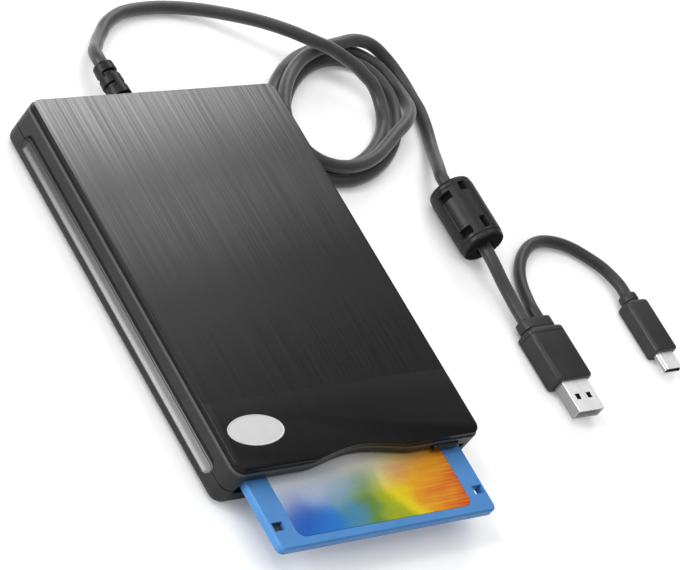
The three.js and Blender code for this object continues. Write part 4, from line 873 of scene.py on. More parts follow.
@dataclass(frozen=True)
class PlugTongue:
    """The larger plug's plastic tongue: pale at its front end, with painted shade dark further in, behind the shell's
    windows.
    """

    name: str = "plug_tongue"
    pale: Colour = (0.5, 0.5, 0.5)
    # painted shade further in
    dark: Colour = (0.002, 0.002, 0.002)
    front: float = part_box("usb_a_tongue")[0][1]
    depth: float = 0.0012
    blur: float = 0.0006

    def make(self) -> bpy.types.Material:
        """Builds the material: the painted shade falls in over a short way behind the front end.

        Returns:
            The material.
        """
        tree = NodeTree(self.name)
        tree.set_inputs(Specular_IOR_Level=0.2)
        place = tree.coordinates()
        start = self.front + self.depth
        inside = tree.spread(tree.axis(place, "Y"), (start, start + self.blur))
        fine = tree.noise(place, 2500.0)
        # painted shade behind the front end
        tree.drive("Base Color", tree.mix(inside, self.pale, self.dark))
        tree.drive("Roughness", tree.spread(fine, NOISE_SPAN, (0.5, 0.65)))
        tree.bump(fine, 0.00002)
        return tree.material


class Finishes:
    """Every finish of the drive, made once and shared."""

    def __init__(self) -> None:
        """Builds all the materials."""
        self.panel = BrushedPanel().make()
        self.label = PrintedLabel().make()
        self.cord = CordSheath().make()
        self.pigtail = CordSheath("pigtail_sheath", (0.009, 0.009, 0.0093), 0.3).make()
        self.board = CircuitBoard().make()
        self.film = CoatedFilm().make()
        self.ferrite = FerriteCase().make()
        self.casing = CasingShell().make()
        self.shell_a = PlugShell("type_a_tin", LARGE_PLUG_AXIS, (0.00572, 0.00197)).make()
        self.shell_c = PlugShell("type_c_tin", SMALL_PLUG_AXIS, (0.00388, 0.00103)).make()
        self.button = Moulding("button_plastic", (0.006, 0.006, 0.0065), 0.3).make()
        self.blue = Moulding("disc_plastic", (0.06, 0.215, 0.5), 0.4, 4200.0, 0.00002, 0.05, 0.35).make()
        self.tab = Moulding("tab_plastic", (0.01, 0.01, 0.011)).make()
        self.foot = Moulding("foot_rubber", grey(0.02), 0.82, 1500.0, 0.00006, 0.2, 0.3).make()
        self.overmould = Moulding("overmould", (0.02, 0.02, 0.0205), 0.4, 2400.0, 0.00005, 0.15, 0.4).make()
        self.sleeve = Moulding("sleeve_rubber", (0.003, 0.003, 0.0032), 0.34, 2400.0, 0.00005, 0.15, 0.3).make()
        self.chip = Moulding("chip_package", (0.014, 0.014, 0.015), 0.48, 3000.0).make()
        self.tongue = Moulding("socket_plastic", (0.8, 0.8, 0.79), 0.45, 2500.0, 0.00002, 0.03).make()
        self.tongue_a = PlugTongue().make()
        self.carriage = Metal("cast_alloy", (0.36, 0.37, 0.39), 0.5, (160.0, 160.0, 160.0), 0.2, 0.00004).make()
        self.steel = Metal("bright_steel", (0.5, 0.51, 0.52), 0.34, (420.0, 22.0, 420.0), 0.08, 0.000004).make()
        self.sheet = Metal("plated_sheet", (0.5, 0.52, 0.54), 0.36, (60.0, 60.0, 60.0), 0.16).make()
        self.shutter = Metal("shutter_steel", (0.62, 0.63, 0.65), 0.34, (40.0, 900.0, 900.0)).make()
        self.badge = Metal("badge_alloy", (0.56, 0.56, 0.57), 0.5, (420.0, 60.0, 60.0), 0.03, 0.00001, 0.2).make()
        self.brass = Metal("turned_brass", (0.62, 0.45, 0.18), 0.3, (500.0, 500.0, 900.0)).make()
        self.copper = Metal("copper_wire", (0.6, 0.24, 0.1), 0.34, (1500.0, 1500.0, 400.0), 0.3, 0.00006).make()


# Curves and surfaces as arrays
class Lie(Enum):
    """How a turned piece's axis lies."""

    UPRIGHT = "along Z"
    LENGTHWAYS = "along Y"


def smoothstep(value: np.ndarray, low: float, high: float) -> np.ndarray:
    """Rises from 0 at low to 1 at high as three squares less two cubes of the share between them.

    Args:
        value: where it is worked out.
        low: where the rise starts.
        high: where it ends.

    Returns:
        The risen share, from 0 to 1.
    """
    share = np.clip((value - low) / (high - low), 0.0, 1.0)
    return share * share * (3.0 - 2.0 * share)


def plateau(value: np.ndarray, low: float, high: float, slope: float) -> np.ndarray:
    """Rises from 0 to 1 over a slope after low, and falls back over the same slope before high.

    Args:
        value: where it is worked out.
        low: where the rise starts.
        high: where the fall ends.
        slope: the length of each.

    Returns:
        The share, from 0 to 1.
    """
    return smoothstep(value, low, low + slope) * (1.0 - smoothstep(value, high - slope, high))


def turn_angles(count: int) -> np.ndarray:
    """Gives equal steps round one full turn."""
    return np.linspace(0.0, 2 * math.pi, count, endpoint=False)


def along_y(x: float, z: float, *places: float) -> np.ndarray:
    """Gives points on one line along Y, a row for each place."""
    return np.array([(x, y, z) for y in places])


def rounded_loop(half_a: float, half_b: float, corner: float, per_corner: int = 10) -> np.ndarray:
    """Draws a rectangle with round corners, anticlockwise.

    Each corner is a quarter circle about a point one radius in from both sides.

    Args:
        half_a: half its first side.
        half_b: half its second side.
        corner: radius of its corners.
        per_corner: points on each corner.

    Returns:
        The points, one row each.
    """
    radius = min(corner, half_a, half_b)
    angle = np.linspace(0.0, math.pi / 2, per_corner)
    quarter = radius * np.stack((np.cos(angle), np.sin(angle)), 1)
    middle = np.array((half_a - radius, half_b - radius))
    swapped = quarter[::-1]
    return np.concatenate((
        middle + quarter, middle * (-1, 1) + swapped * (-1, 1),
        -middle - quarter, middle * (1, -1) + swapped * (1, -1),
    ))


def stacked(loops: Sequence[np.ndarray], levels: Sequence[float], axis: int) -> np.ndarray:
    """Lays flat loops at levels along an axis.

    Args:
        loops: loops of the same number of points, by two.
        levels: the level of each loop.
        axis: which coordinate the level is.

    Returns:
        An array of loops by points by three.
    """
    return np.stack([np.insert(loop, axis, level, axis=1) for loop, level in zip(loops, levels)])


def ring_rows(radius: np.ndarray, level: np.ndarray, centre: Point, lie: Lie) -> np.ndarray:
    """Turns a profile about an axis.

    Point (i, j) is radius (i, j) times the cosine and the sine of angle j, at level i along the axis.

    Args:
        radius: an array of rows by points.
        level: each row's place along the axis.
        centre: where the axis starts.
        lie: how the axis lies.

    Returns:
        An array of rows by points by three.
    """
    angle = turn_angles(radius.shape[1])
    first, second = radius * np.cos(angle), radius * np.sin(angle)
    along = np.broadcast_to(level[:, None], radius.shape)
    parts = (first, second, along) if lie is Lie.UPRIGHT else (first, along, second)
    return np.stack(parts, -1) + np.array(centre)


def grid_mesh(name: str, rows: np.ndarray, closed: bool = True, lengths: np.ndarray | None = None) -> bpy.types.Mesh:
    """Makes a mesh from rows of points that close on themselves, with a flat face on both ends.

    Face (i, j) joins points j and j + 1 of rows i and i + 1. Faces are turned over if the signed volume, a
    sixth of the sum of the triangles' triple products, is below zero.

    Args:
        name: the mesh's name.
        rows: an array of rows by points by three.
        closed: whether the ends get faces; otherwise the last row joins the first.
        lengths: how far each row lies along the piece, for its own coordinates.

    Returns:
        The mesh, shaded smooth but for its sharp edges.
    """
    count, around = rows.shape[:2]
    last = count - 1 if closed else count
    i, j = np.meshgrid(np.arange(last), np.arange(around), indexing="ij")
    beside, ahead = (j + 1) % around, (i + 1) % count
    quads = np.stack((
        i * around + j, i * around + beside, ahead * around + beside, ahead * around + j,
    ), -1).reshape(-1, 4)
    points = rows.reshape(-1, 3)
    triangles = np.concatenate((quads[:, [0, 1, 2]], quads[:, [0, 2, 3]]))
    if closed:
        ring = np.arange(1, around - 1)
        low = np.stack((np.zeros_like(ring), ring + 1, ring), 1)
        triangles = np.concatenate((triangles, low, low[:, ::-1] + (count - 1) * around))
    a, b, c = (points[triangles[:, corner]] - points[0] for corner in range(3))
    outwards = np.einsum("ij,ij->i", a, np.cross(b, c)).sum() > 0
    faces = quads.tolist() if outwards else quads[:, ::-1].tolist()
    if closed:
        ends = [list(range(around))[::-1], list(range((count - 1) * around, count * around))]
        faces += ends if outwards else [end[::-1] for end in ends]
    mesh = bpy.data.meshes.new(name)
    mesh.from_pydata(points.tolist(), [], faces)
    along = np.arange(count, dtype=float) if lengths is None else lengths
    uv = np.stack(np.broadcast_arrays(np.arange(around) / around, along[:, None]), -1).reshape(-1, 2)
    corners = np.empty(len(mesh.loops), np.int32)
    mesh.loops.foreach_get("vertex_index", corners)
    mesh.uv_layers.new(name="surface").data.foreach_set("uv", uv[corners].astype(np.float32).ravel())
    return soften(mesh)


def soften(mesh: bpy.types.Mesh, sharp_degrees: float = 32.0) -> bpy.types.Mesh:
    """Shades a mesh smooth but for its sharp edges.

    Args:
        mesh: the mesh.
        sharp_degrees: the turn past which an edge stays sharp.

    Returns:
        The same mesh.
    """
    mesh.polygons.foreach_set("use_smooth", np.ones(len(mesh.polygons), bool))
    mesh.set_sharp_from_angle(angle=math.radians(sharp_degrees))
    mesh.update()
    return mesh


def turned_mesh(name: str, profile: np.ndarray, centre: Point, around: int) -> bpy.types.Mesh:
    """Turns a profile about an upright axis: each ring keeps one radius and one height.

    Args:
        name: the mesh's name.
        profile: rows of radius and height.
        centre: a point of the axis, at height 0.
        around: points in each ring.

    Returns:
        The closed mesh.
    """
    radius = np.repeat(profile[:, :1], around, axis=1)
    return grid_mesh(name, ring_rows(radius, profile[:, 1], centre, Lie.UPRIGHT), True, profile[:, 1])


def lofted_mesh(name: str, stations: np.ndarray, centre: Point, per_corner: int = 10) -> bpy.types.Mesh:
    """Carries a rounded rectangle along Y.

    Args:
        name: the mesh's name.
        stations: rows of place, half width, half height and corner radius.
        centre: where the places are counted from.
        per_corner: points on each corner.

    Returns:
        The closed mesh.
    """
    loops = [rounded_loop(half_x, half_z, corner, per_corner) for _, half_x, half_z, corner in stations]
    return grid_mesh(name, stacked(loops, stations[:, 0], 1) + np.array(centre), True, stations[:, 0])


def smooth_line(points: np.ndarray, per_span: int) -> np.ndarray:
    """Runs a centripetal Catmull-Rom curve through points.

    Spans are timed by the square root of their chords. Each span is a cubic whose end slopes come from
    the chords before and after it.

    Args:
        points: the points that it passes.
        per_span: points made for each span.

    Returns:
        The curve's points.
    """
    ends = np.concatenate(([2 * points[0] - points[1]], points, [2 * points[-1] - points[-2]]))
    p0, p1, p2, p3 = ends[:-3], ends[1:-2], ends[2:-1], ends[3:]
    t0, t1, t2 = (np.sqrt(np.linalg.norm(b - a, axis=1))[:, None] for a, b in ((p0, p1), (p1, p2), (p2, p3)))
    start = ((p1 - p0) / t0 - (p2 - p0) / (t0 + t1) + (p2 - p1) / t1) * t1
    end = ((p2 - p1) / t1 - (p3 - p1) / (t1 + t2) + (p3 - p2) / t2) * t1
    s = np.linspace(0.0, 1.0, per_span, endpoint=False)[None, :, None]
    a, b, c, d = p1[:, None], start[:, None], p2[:, None], end[:, None]
    curve = a + b * s + (-3 * a + 3 * c - 2 * b - d) * s**2 + (2 * a - 2 * c + b + d) * s**3
    return np.concatenate((curve.reshape(-1, 3), points[-1:]))


def tube_mesh(name: str, line: np.ndarray, radius: float, around: int, up: Point = (0.0, 0.0, 1.0)) -> bpy.types.Mesh:
    """Carries a circle along a line, upright to it.

    The circle's first side is the line's direction crossed with up, and its second side is the first
    crossed with the direction.

    Args:
        name: the mesh's name.
        line: the centreline.
        radius: the tube's radius.
        around: points in each ring.
        up: a direction that the line never takes.

    Returns:
        The closed tube, whose own coordinates run round it and along it.
    """
    ahead = np.gradient(line, axis=0)
    ahead /= np.linalg.norm(ahead, axis=1)[:, None]
    side = np.cross(ahead, np.array(up))
    side /= np.linalg.norm(side, axis=1)[:, None]
    top = np.cross(side, ahead)
    angle = turn_angles(around)[None, :, None]
    rows = line[:, None] + radius * (np.cos(angle) * side[:, None] + np.sin(angle) * top[:, None])
    run = np.concatenate(([0.0], np.cumsum(np.linalg.norm(np.diff(line, axis=0), axis=1))))
    return grid_mesh(name, rows, True, run / (2 * math.pi * radius))


def finer_copy(node: str, name: str, merge_reach: float = 0.000002, flat_degrees: float = 0.6) -> bpy.types.Mesh:
    """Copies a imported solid, joins its loose triangles and merges those that lie in one plane.

    Args:
        node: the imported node.
        name: the new mesh's name.
        merge_reach: how near two points are to be one.
        flat_degrees: how far faces of one plane may turn.

    Returns:
        The copy, shaded smooth but for its sharp edges.
    """
    source = bmesh.new()
    source.from_mesh(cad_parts[node].data)
    bmesh.ops.remove_doubles(source, verts=source.verts, dist=merge_reach)
    bmesh.ops.dissolve_limit(source, angle_limit=math.radians(flat_degrees), verts=source.verts, edges=source.edges)
    source.verts.index_update()
    points = [vert.co.to_tuple() for vert in source.verts]
    faces = [[vert.index for vert in face.verts] for face in source.faces]
    source.free()
    mesh = bpy.data.meshes.new(name)
    mesh.from_pydata(points, [], faces)
    return soften(mesh)


class Bench:
    """Puts finished pieces into the scene and reports them."""

    def __init__(self, finishes: Finishes) -> None:
        """Keeps the finishes that all the pieces share."""
        self.finishes = finishes

    def put(self, mesh: bpy.types.Mesh, finish: bpy.types.Material, body: str,
            instead: tuple[str, ...] = ()) -> bpy.types.Object:
        """Adds a piece that rides on a body.

        Args:
            mesh: its shape, already in place.
            finish: its material.
            body: the body that it rides on.
            instead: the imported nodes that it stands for.

        Returns:
            The piece.
        """
        piece = bpy.data.objects.new(mesh.name, mesh)
        bpy.context.scene.collection.objects.link(piece)
        mesh.materials.append(finish)
        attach(piece, body)
        if instead:
            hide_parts(*instead)
        LOG.info("%s: %d faces, on %s, for %s", piece.name, len(mesh.polygons), body, ", ".join(instead) or "itself")
        return piece

    def refine(self, node: str, name: str, finish: bpy.types.Material, body: str,
               edge: float = 0.0) -> bpy.types.Object:
        """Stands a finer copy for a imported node, with its sharp edges eased.

        Args:
            node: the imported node.
            name: the new piece's name.
            finish: its material.
            body: the body that it rides on.
            edge: width of the eased edges, or 0 to leave them.

        Returns:
            The piece.
        """
        piece = self.put(finer_copy(node, name), finish, body, (node,))
        if edge:
            bevel = piece.modifiers.new("eased_edges", "BEVEL")
            bevel.width = edge
            bevel.segments = 2
            bevel.limit_method = "ANGLE"
            bevel.angle_limit = math.radians(38.0)
            bevel.harden_normals = False
        return piece

    def dress(self, finish: bpy.types.Material, *nodes: str) -> None:
        """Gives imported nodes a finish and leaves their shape.

        Args:
            finish: the material.
            nodes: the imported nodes.
        """
        for node in nodes:
            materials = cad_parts[node].data.materials
            materials.clear()
            materials.append(finish)
            LOG.info("%s: packed node in %s", node, finish.name)


# Casing
@dataclass(frozen=True)
class Casing:
    """The two covers, the brushed plate, the bare oval badge, the feet and the screws under them."""

    edge: float = 0.00022
    plate_edge: float = 0.00012
    screw_edge: float = 0.0001
    badge_x: float = -0.0362
    badge_y: float = -0.04465
    badge_long: float = 0.0109
    badge_short: float = 0.0054
    badge_under: float = 0.0171
    badge_top: float = 0.0178
    badge_flat: float = 0.88
    foot_radius: float = 0.004
    foot_height: float = 0.0011
    feet: tuple[Pair, ...] = ((-0.038, -0.04005), (-0.038, 0.06405), (0.038, -0.04005), (0.038, 0.06405))

    def build(self, bench: Bench) -> None:
        """Makes every piece of the casing.

        Args:
            bench: where the pieces are put.
        """
        f = bench.finishes
        bench.refine("top_cover", "upper_casing", f.casing, "casing", self.edge)
        bench.refine("bottom_cover", "lower_casing", f.casing, "casing", self.edge)
        bench.refine("top_plate", "brushed_plate", f.panel, "casing", self.plate_edge)
        bench.put(self.badge_mesh(), f.badge, "casing", ("oval_badge",))
        for number, place in enumerate(self.feet, 1):
            bench.put(self.foot_mesh(number, place), f.foot, "casing", (f"rubber_foot_{number}",))
        for number in (1, 2):
            screw = f"case_screw_{number}"
            bench.refine(screw, f"casing_screw_{number}", f.steel, "casing", self.screw_edge)

    def badge_mesh(self) -> bpy.types.Mesh:
        """An ellipse in rings: upright rim, round shoulder, a shallow groove and a slightly domed middle.

        Each ring has a share of the short half size. Its long half size loses as much as the short one, and
        inside the flat also its part of the difference between the two, so that the rings end in a small round.

        Returns:
            The mesh.
        """
        share = np.array((0.985, 1.0, 1.0, 0.988, 0.955, 0.93, 0.915, 0.9, 0.88, 0.7, 0.5, 0.3, 0.1, 0.02))
        level = np.array((0.0, 0.1, 0.86, 0.97, 1.0, 0.97, 0.88, 0.86, 0.87, 0.9, 0.93, 0.945, 0.95, 0.95))
        inner = np.maximum(0.0, (self.badge_flat - share) / self.badge_flat)
        half_long = self.badge_long - (1.0 - share) * self.badge_short - inner * (self.badge_long - self.badge_short)
        height = self.badge_under + level * (self.badge_top - self.badge_under)
        angle = turn_angles(96)
        return grid_mesh("bare_oval_badge", np.stack((
            self.badge_x + half_long[:, None] * np.cos(angle),
            self.badge_y + self.badge_short * share[:, None] * np.sin(angle),
            np.broadcast_to(height[:, None], (len(share), len(angle))),
        ), -1))

    def foot_mesh(self, number: int, place: Pair) -> bpy.types.Mesh:
        """A round pad with an eased rim and a shallow dish underneath.

        Args:
            number: the foot's number.
            place: its middle.

        Returns:
            The mesh.
        """
        shares = np.array((
            (0.05, 1.0), (0.97, 1.0), (1.0, 0.96), (1.0, 0.35), (0.985, 0.16), (0.94, 0.03), (0.9, 0.0),
            (0.7, 0.0), (0.66, 0.06), (0.3, 0.09), (0.05, 0.09),
        ))
        return turned_mesh(f"foot_pad_{number}", shares * (self.foot_radius, self.foot_height), (*place, 0.0), 48)


# Floppy disc
@dataclass(frozen=True)
class FloppyDisc:
    """The 3.5 inch disc: two shells, label, sliding shutter, hub, magnetic film and the black tab."""

    shell_edge: float = 0.00016
    metal_edge: float = 0.00008
    tab_edge: float = 0.0002
    middle_y: float = -0.03305
    film_radius: float = 0.0429
    film_inner: float = 0.0112
    film_under: float = 0.0099
    film_top: float = 0.0102
    label_half: float = 0.0362
    label_near: float = -0.07895
    label_far: float = -0.02495
    label_under: float = 0.0114
    label_top: float = 0.0117
    label_corner: float = 0.003
    label_ease: float = 0.00006

    def build(self, bench: Bench) -> None:
        """Makes every piece of the disc.

        Args:
            bench: where the pieces are put.
        """
        f = bench.finishes
        bench.refine("disc_shell_upper", "upper_disc_shell", f.blue, "disc", self.shell_edge)
        bench.refine("disc_shell_lower", "lower_disc_shell", f.blue, "disc", self.shell_edge)
        bench.put(self.label_mesh(), f.label, "disc", ("disc_label",))
        bench.refine("disc_shutter", "sliding_shutter", f.shutter, "shutter", self.metal_edge)
        bench.put(self.film_mesh(), f.film, "medium", ("magnetic_disc",))
        bench.refine("disc_hub", "steel_hub", f.shutter, "medium", self.metal_edge)
        bench.refine("protect_tab", "write_tab", f.tab, "write_tab", self.tab_edge)

    def label_mesh(self) -> bpy.types.Mesh:
        """A rounded rectangle in three loops, whose top edge is eased.

        Returns:
            The mesh.
        """
        half_y = (self.label_far - self.label_near) / 2
        insets = (0.0, 0.0, self.label_ease)
        levels = (self.label_under, self.label_top - self.label_ease, self.label_top)
        loops = [rounded_loop(self.label_half - inset, half_y - inset, self.label_corner - inset) for inset in insets]
        return grid_mesh("colour_label", stacked(loops, levels, 2) + np.array((0.0, self.label_near + half_y, 0.0)))

    def film_mesh(self) -> bpy.types.Mesh:
        """A flat ring: the profile runs out along the bottom and back along the top, and closes on itself.

        Returns:
            The mesh.
        """
        radius = np.array((self.film_inner, self.film_radius, self.film_radius, self.film_inner))
        level = np.array((self.film_under, self.film_under, self.film_top, self.film_top))
        rows = ring_rows(np.repeat(radius[:, None], 128, axis=1), level, (0.0, self.middle_y, 0.0), Lie.UPRIGHT)
        return grid_mesh("coated_film_disc", rows, closed=False)


# Mechanism
@dataclass(frozen=True)
class Mechanism:
    """Chassis, loading gear, spindle, heads, motors and boards inside the casing."""

    button_edge: float = 0.00012
    thick_edge: float = 0.0001
    sheet_edge: float = 0.00008
    thin_edge: float = 0.00006
    spring_x: float = 0.04
    spring_z: float = 0.0044
    spring_near: float = -0.00175
    spring_far: float = 0.02165
    spring_radius: float = 0.00066
    spring_wire: float = 0.00014
    spring_turns: int = 22
    eject_travel: float = 0.0045
    rotor_y: float = -0.00855

    def build(self, bench: Bench) -> None:
        """Makes the moving gear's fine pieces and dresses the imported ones.

        Args:
            bench: where the pieces are put.
        """
        f = bench.finishes
        bench.refine("eject_button", "push_button", f.button, "eject_gear", self.button_edge)
        bench.refine("chassis", "tray", f.sheet, "casing", self.sheet_edge)
        bench.refine("mechanism_cover", "inner_lid", f.sheet, "casing", self.thin_edge)
        bench.refine("disc_holder", "disc_carrier", f.steel, "holder", self.thin_edge)
        bench.refine("eject_slide", "cam_slide", f.steel, "eject_gear", self.thin_edge)
        bench.refine("head_carriage", "head_sledge", f.carriage, "carriage", self.thick_edge)
        bench.refine("upper_head_arm", "upper_head_spring_arm", f.sheet, "upper_arm")
        bench.refine("lead_screw", "feed_screw", f.steel, "screw")
        bench.refine("trigger_lever", "release_lever", f.sheet, "lever", self.thin_edge)
        bench.refine("stator", "wound_stator", f.copper, "casing", self.sheet_edge)
        for side, name in ((-1, "eject_spring_left"), (1, "eject_spring_right")):
            spring = bench.put(self.spring_mesh(side), f.steel, "casing", (name,))
            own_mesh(spring)
        bench.put(self.rotor_mesh(), f.steel, "spindle", ("spindle_rotor",))
        bench.dress(f.board, "motor_board", "usb_board", "control_board")
        bench.dress(f.brass, "spindle_bearing", "lever_pivot")
        bench.dress(f.steel, "guide_rod", "arm_hinge_pin", "crystal")
        bench.dress(f.sheet, "stepper_motor")
        bench.dress(f.chip, "track_sensor", "disc_switch", "protect_switch", "usb_chip", "control_chip")
        bench.dress(f.tongue, "cord_socket")
        bench.dress(f.cord, "inner_wires")

    def spring_mesh(self, side: int) -> bpy.types.Mesh:
        """A wire tube along a helix: the angle grows evenly with the place along Y.

        Args:
            side: -1 for the left spring, 1 for the right one.

        Returns:
            The mesh.
        """
        share = np.linspace(0.0, 1.0, self.spring_turns * 16 + 1)
        angle = 2 * math.pi * self.spring_turns * share
        near, far = self.spring_near + self.spring_wire, self.spring_far - self.spring_wire
        line = np.stack((
            side * self.spring_x + self.spring_radius * np.cos(angle), near + (far - near) * share,
            self.spring_z + self.spring_radius * np.sin(angle),
        ), 1)
        name = f"return_spring_{'left' if side < 0 else 'right'}"
        return tube_mesh(name, line, self.spring_wire, 8, (0.0, 1.0, 0.0))

    def rotor_mesh(self) -> bpy.types.Mesh:
        """A turned cup over the motor with a raised seat, drawn from the shaft out, round the rim and back.

        Returns:
            The mesh.
        """
        profile = np.array((
            (0.0001, 0.0029), (0.0015, 0.0029), (0.0015, 0.0054), (0.0195, 0.0054), (0.0196, 0.0053),
            (0.0196, 0.0039), (0.0209, 0.0039), (0.021, 0.004), (0.021, 0.00566), (0.02085, 0.0058),
            (0.018, 0.0059), (0.0111, 0.0059), (0.011, 0.00598), (0.011, 0.00612), (0.0109, 0.0062),
            (0.0019, 0.0062), (0.0018, 0.0062), (0.0001, 0.0062),
        ))
        return turned_mesh("rotor_cup", profile, (0.0, self.rotor_y, 0.0), 96)


# Strain relief, ferrite, coil and plugs of the lead
@dataclass(frozen=True)
class StrainRelief:
    """The tapered sleeve at the casing's wall, with a flange behind it and three open grooves."""

    x: float = -0.005
    z: float = 0.00775
    wall: float = 0.08235
    length: float = 0.018
    root: float = 0.0042
    taper: float = 0.0008
    neck: float = 0.0032
    flange: float = 0.0044
    flange_ends: Pair = (-0.0042, -0.003)
    grooves: int = 3
    groove_first: float = 0.0027
    groove_pitch: float = 0.0048
    groove_long: float = 0.0021
    groove_slope: float = 0.0005
    groove_deep: float = 0.0009
    web: Pair = (0.86, 0.95)
    tip_ends: Pair = (-0.0009, 0.0002)
    tip_deep: float = 0.0006
    around: int = 72

    def mesh(self) -> bpy.types.Mesh:
        """Makes ribs that are joined by webs, which change sides from groove to groove.

        The radius is the taper, less the grooves' depth where no web crosses them, less the round of the tip.

        Returns:
            The mesh.
        """
        s = np.concatenate((self.flange_ends, np.linspace(-0.0029, self.length, 190)))
        angle = turn_angles(self.around)
        taper = self.root - self.taper * np.clip(s / self.length, 0.0, 1.0)
        radius = np.repeat(taper[:, None], self.around, axis=1)
        for number in range(self.grooves):
            low = self.groove_first + self.groove_pitch * number
            groove = plateau(s, low, low + self.groove_long, self.groove_slope)
            side = math.pi / 2 * (number % 2)
            web = smoothstep(np.abs(np.cos(angle - side)), *self.web)
            radius -= self.groove_deep * groove[:, None] * (1.0 - web)
        tip = smoothstep(s, self.length + self.tip_ends[0], self.length + self.tip_ends[1])
        radius -= self.tip_deep * tip[:, None] ** 2
        radius[s < 0.0] = self.neck
        radius[0] = self.flange
        rows = ring_rows(radius, s, (self.x, self.wall, self.z), Lie.LENGTHWAYS)
        return grid_mesh("cord_sleeve", rows, True, s * 200)


@dataclass(frozen=True)
class FerriteCore:
    """The clip-on core: a cylinder with eased ends, a seam along its two halves and four latch slots.

    Each slot is its middle from the front end, its turn in degrees, and half its length and width.
    """

    front: float = 0.0152
    back: float = 0.04
    radius: float = 0.0078
    end_round: float = 0.0013
    collar_deep: float = 0.00025
    collar: Pair = (0.0022, 0.0026)
    seam_turn: float = 8.0
    seam_deep: float = 0.0003
    seam_width: float = 0.0006
    slot_deep: float = 0.0014
    slot_slope: float = 0.0002
    slots: tuple[tuple[float, float, float, float], ...] = (
        (0.0052, 161.0, 0.0012, 0.0023), (0.0196, 161.0, 0.0012, 0.0023),
        (0.0056, 104.0, 0.0021, 0.0009), (0.0206, 104.0, 0.0014, 0.0012),
    )
    mouth: float = 0.0027
    around: int = 150

    def mesh(self) -> bpy.types.Mesh:
        """Makes the core.

        The radius is full, less the end rounding, the collars at both ends, the narrow seam on both sides
        and each slot's depth.

        Returns:
            The mesh.
        """
        length = self.back - self.front
        end_rows = np.linspace(0.0, 0.0014, 12)
        s = np.unique(np.concatenate((np.linspace(0.0, length, 90), end_rows, length - end_rows)))
        angle = turn_angles(self.around)
        from_end = np.minimum(s, length - s)
        inside_round = np.maximum(0.0, self.end_round - from_end)
        lost = self.end_round - np.sqrt(np.maximum(0.0, self.end_round**2 - inside_round**2))
        collar = self.collar_deep * (1.0 - smoothstep(from_end, *self.collar))
        radius = np.repeat((self.radius - lost - collar)[:, None], self.around, axis=1)
        off_seam = (np.abs(np.cos(angle + math.radians(self.seam_turn))) - 1.0) / self.seam_width
        radius -= self.seam_deep * np.exp(-off_seam**2)
        for middle, degrees, half_long, half_wide in self.slots:
            arc = np.abs(angle - math.radians(degrees)) * self.radius
            within = 1.0 - smoothstep(np.abs(s - middle), half_long - self.slot_slope, half_long + self.slot_slope)
            beside = 1.0 - smoothstep(arc, half_wide - self.slot_slope, half_wide + self.slot_slope)
            radius -= self.slot_deep * within[:, None] * beside
        x, z = FERRITE_AXIS
        return grid_mesh("ferrite_core", self.with_mouths(ring_rows(radius, s, (x, self.front, z), Lie.LENGTHWAYS)))

    def with_mouths(self, rows: np.ndarray) -> np.ndarray:
        """Closes the two ends by rings that narrow towards the cord and dip inwards, as a shallow funnel.

        Each ring is the end's own ring shrunk about the axis and moved in.

        Args:
            rows: the core's rings.

        Returns:
            The rings with three more at each end.
        """
        mouth = self.mouth / self.radius
        x, z = FERRITE_AXIS
        fronts, backs = [], []
        for share, dip in ((mouth, 0.0012), (mouth * 1.15, 0.0006), (0.55, 0.0)):
            for ends, row, inwards in ((fronts, rows[:1], dip), (backs, rows[-1:], -dip)):
                centre = np.array((x, row[0, 0, 1], z))
                ends.append(centre + (row - centre) * share + np.array((0.0, inwards, 0.0)))
        return np.concatenate([*fronts, rows, *backs[::-1]])


@dataclass(frozen=True)
class Coil:
    """The lead's loops: an ellipse that widens by a pitch each turn and lies on the floor."""

    x: float = 0.0872
    y: float = 0.077
    major: float = 0.0268
    minor: float = 0.0148
    pitch: float = 0.0051
    rise: float = 0.0051
    inward: float = 0.0058
    tilt: float = 34.0
    swing: float = 120.0
    turns: float = 3.1
    settled: float = 0.2
    climb: Pair = (2.06, 3.06)
    climb_slope: float = 0.2
    per_turn: int = 24

    def points(self, radius: float, lift: float) -> np.ndarray:
        """Gives the wound points, with a straight end of one diameter before and after them.

        A point is at an angle of minus one turn for each turn. Its distance grows by a pitch a turn. The start
        is further in and one diameter up, and settles. The third loop climbs over the second, rides in the
        groove and comes down outside it: over is how far it has swung about the loop under it.

        Args:
            radius: the cord's radius.
            lift: how far the cord is kept off the floor.

        Returns:
            The points, one row each.
        """
        turn = np.linspace(0.0, self.turns, round(self.turns * self.per_turn) + 1)
        above = 1.0 - smoothstep(turn, 0.0, self.settled)
        over = math.radians(self.swing) * plateau(turn, *self.climb, self.climb_slope)
        grow = self.pitch * (turn - 1.0 + np.cos(over)) - self.inward * above
        u = (self.major + grow) * np.cos(-2 * math.pi * turn)
        v = (self.minor + grow) * np.sin(-2 * math.pi * turn)
        tilt = math.radians(self.tilt)
        wound = np.stack((
            self.x + u * math.cos(tilt) - v * math.sin(tilt),
            self.y + u * math.sin(tilt) + v * math.cos(tilt),
            radius + lift + self.rise * above + self.pitch * np.sin(over),
        ), 1)
        first, last = wound[0] - wound[1], wound[-1] - wound[-2]
        before = wound[0] + first / np.linalg.norm(first) * 2 * radius
        after = wound[-1] + last / np.linalg.norm(last) * 2 * radius
        return np.concatenate(([before], wound, [after]))


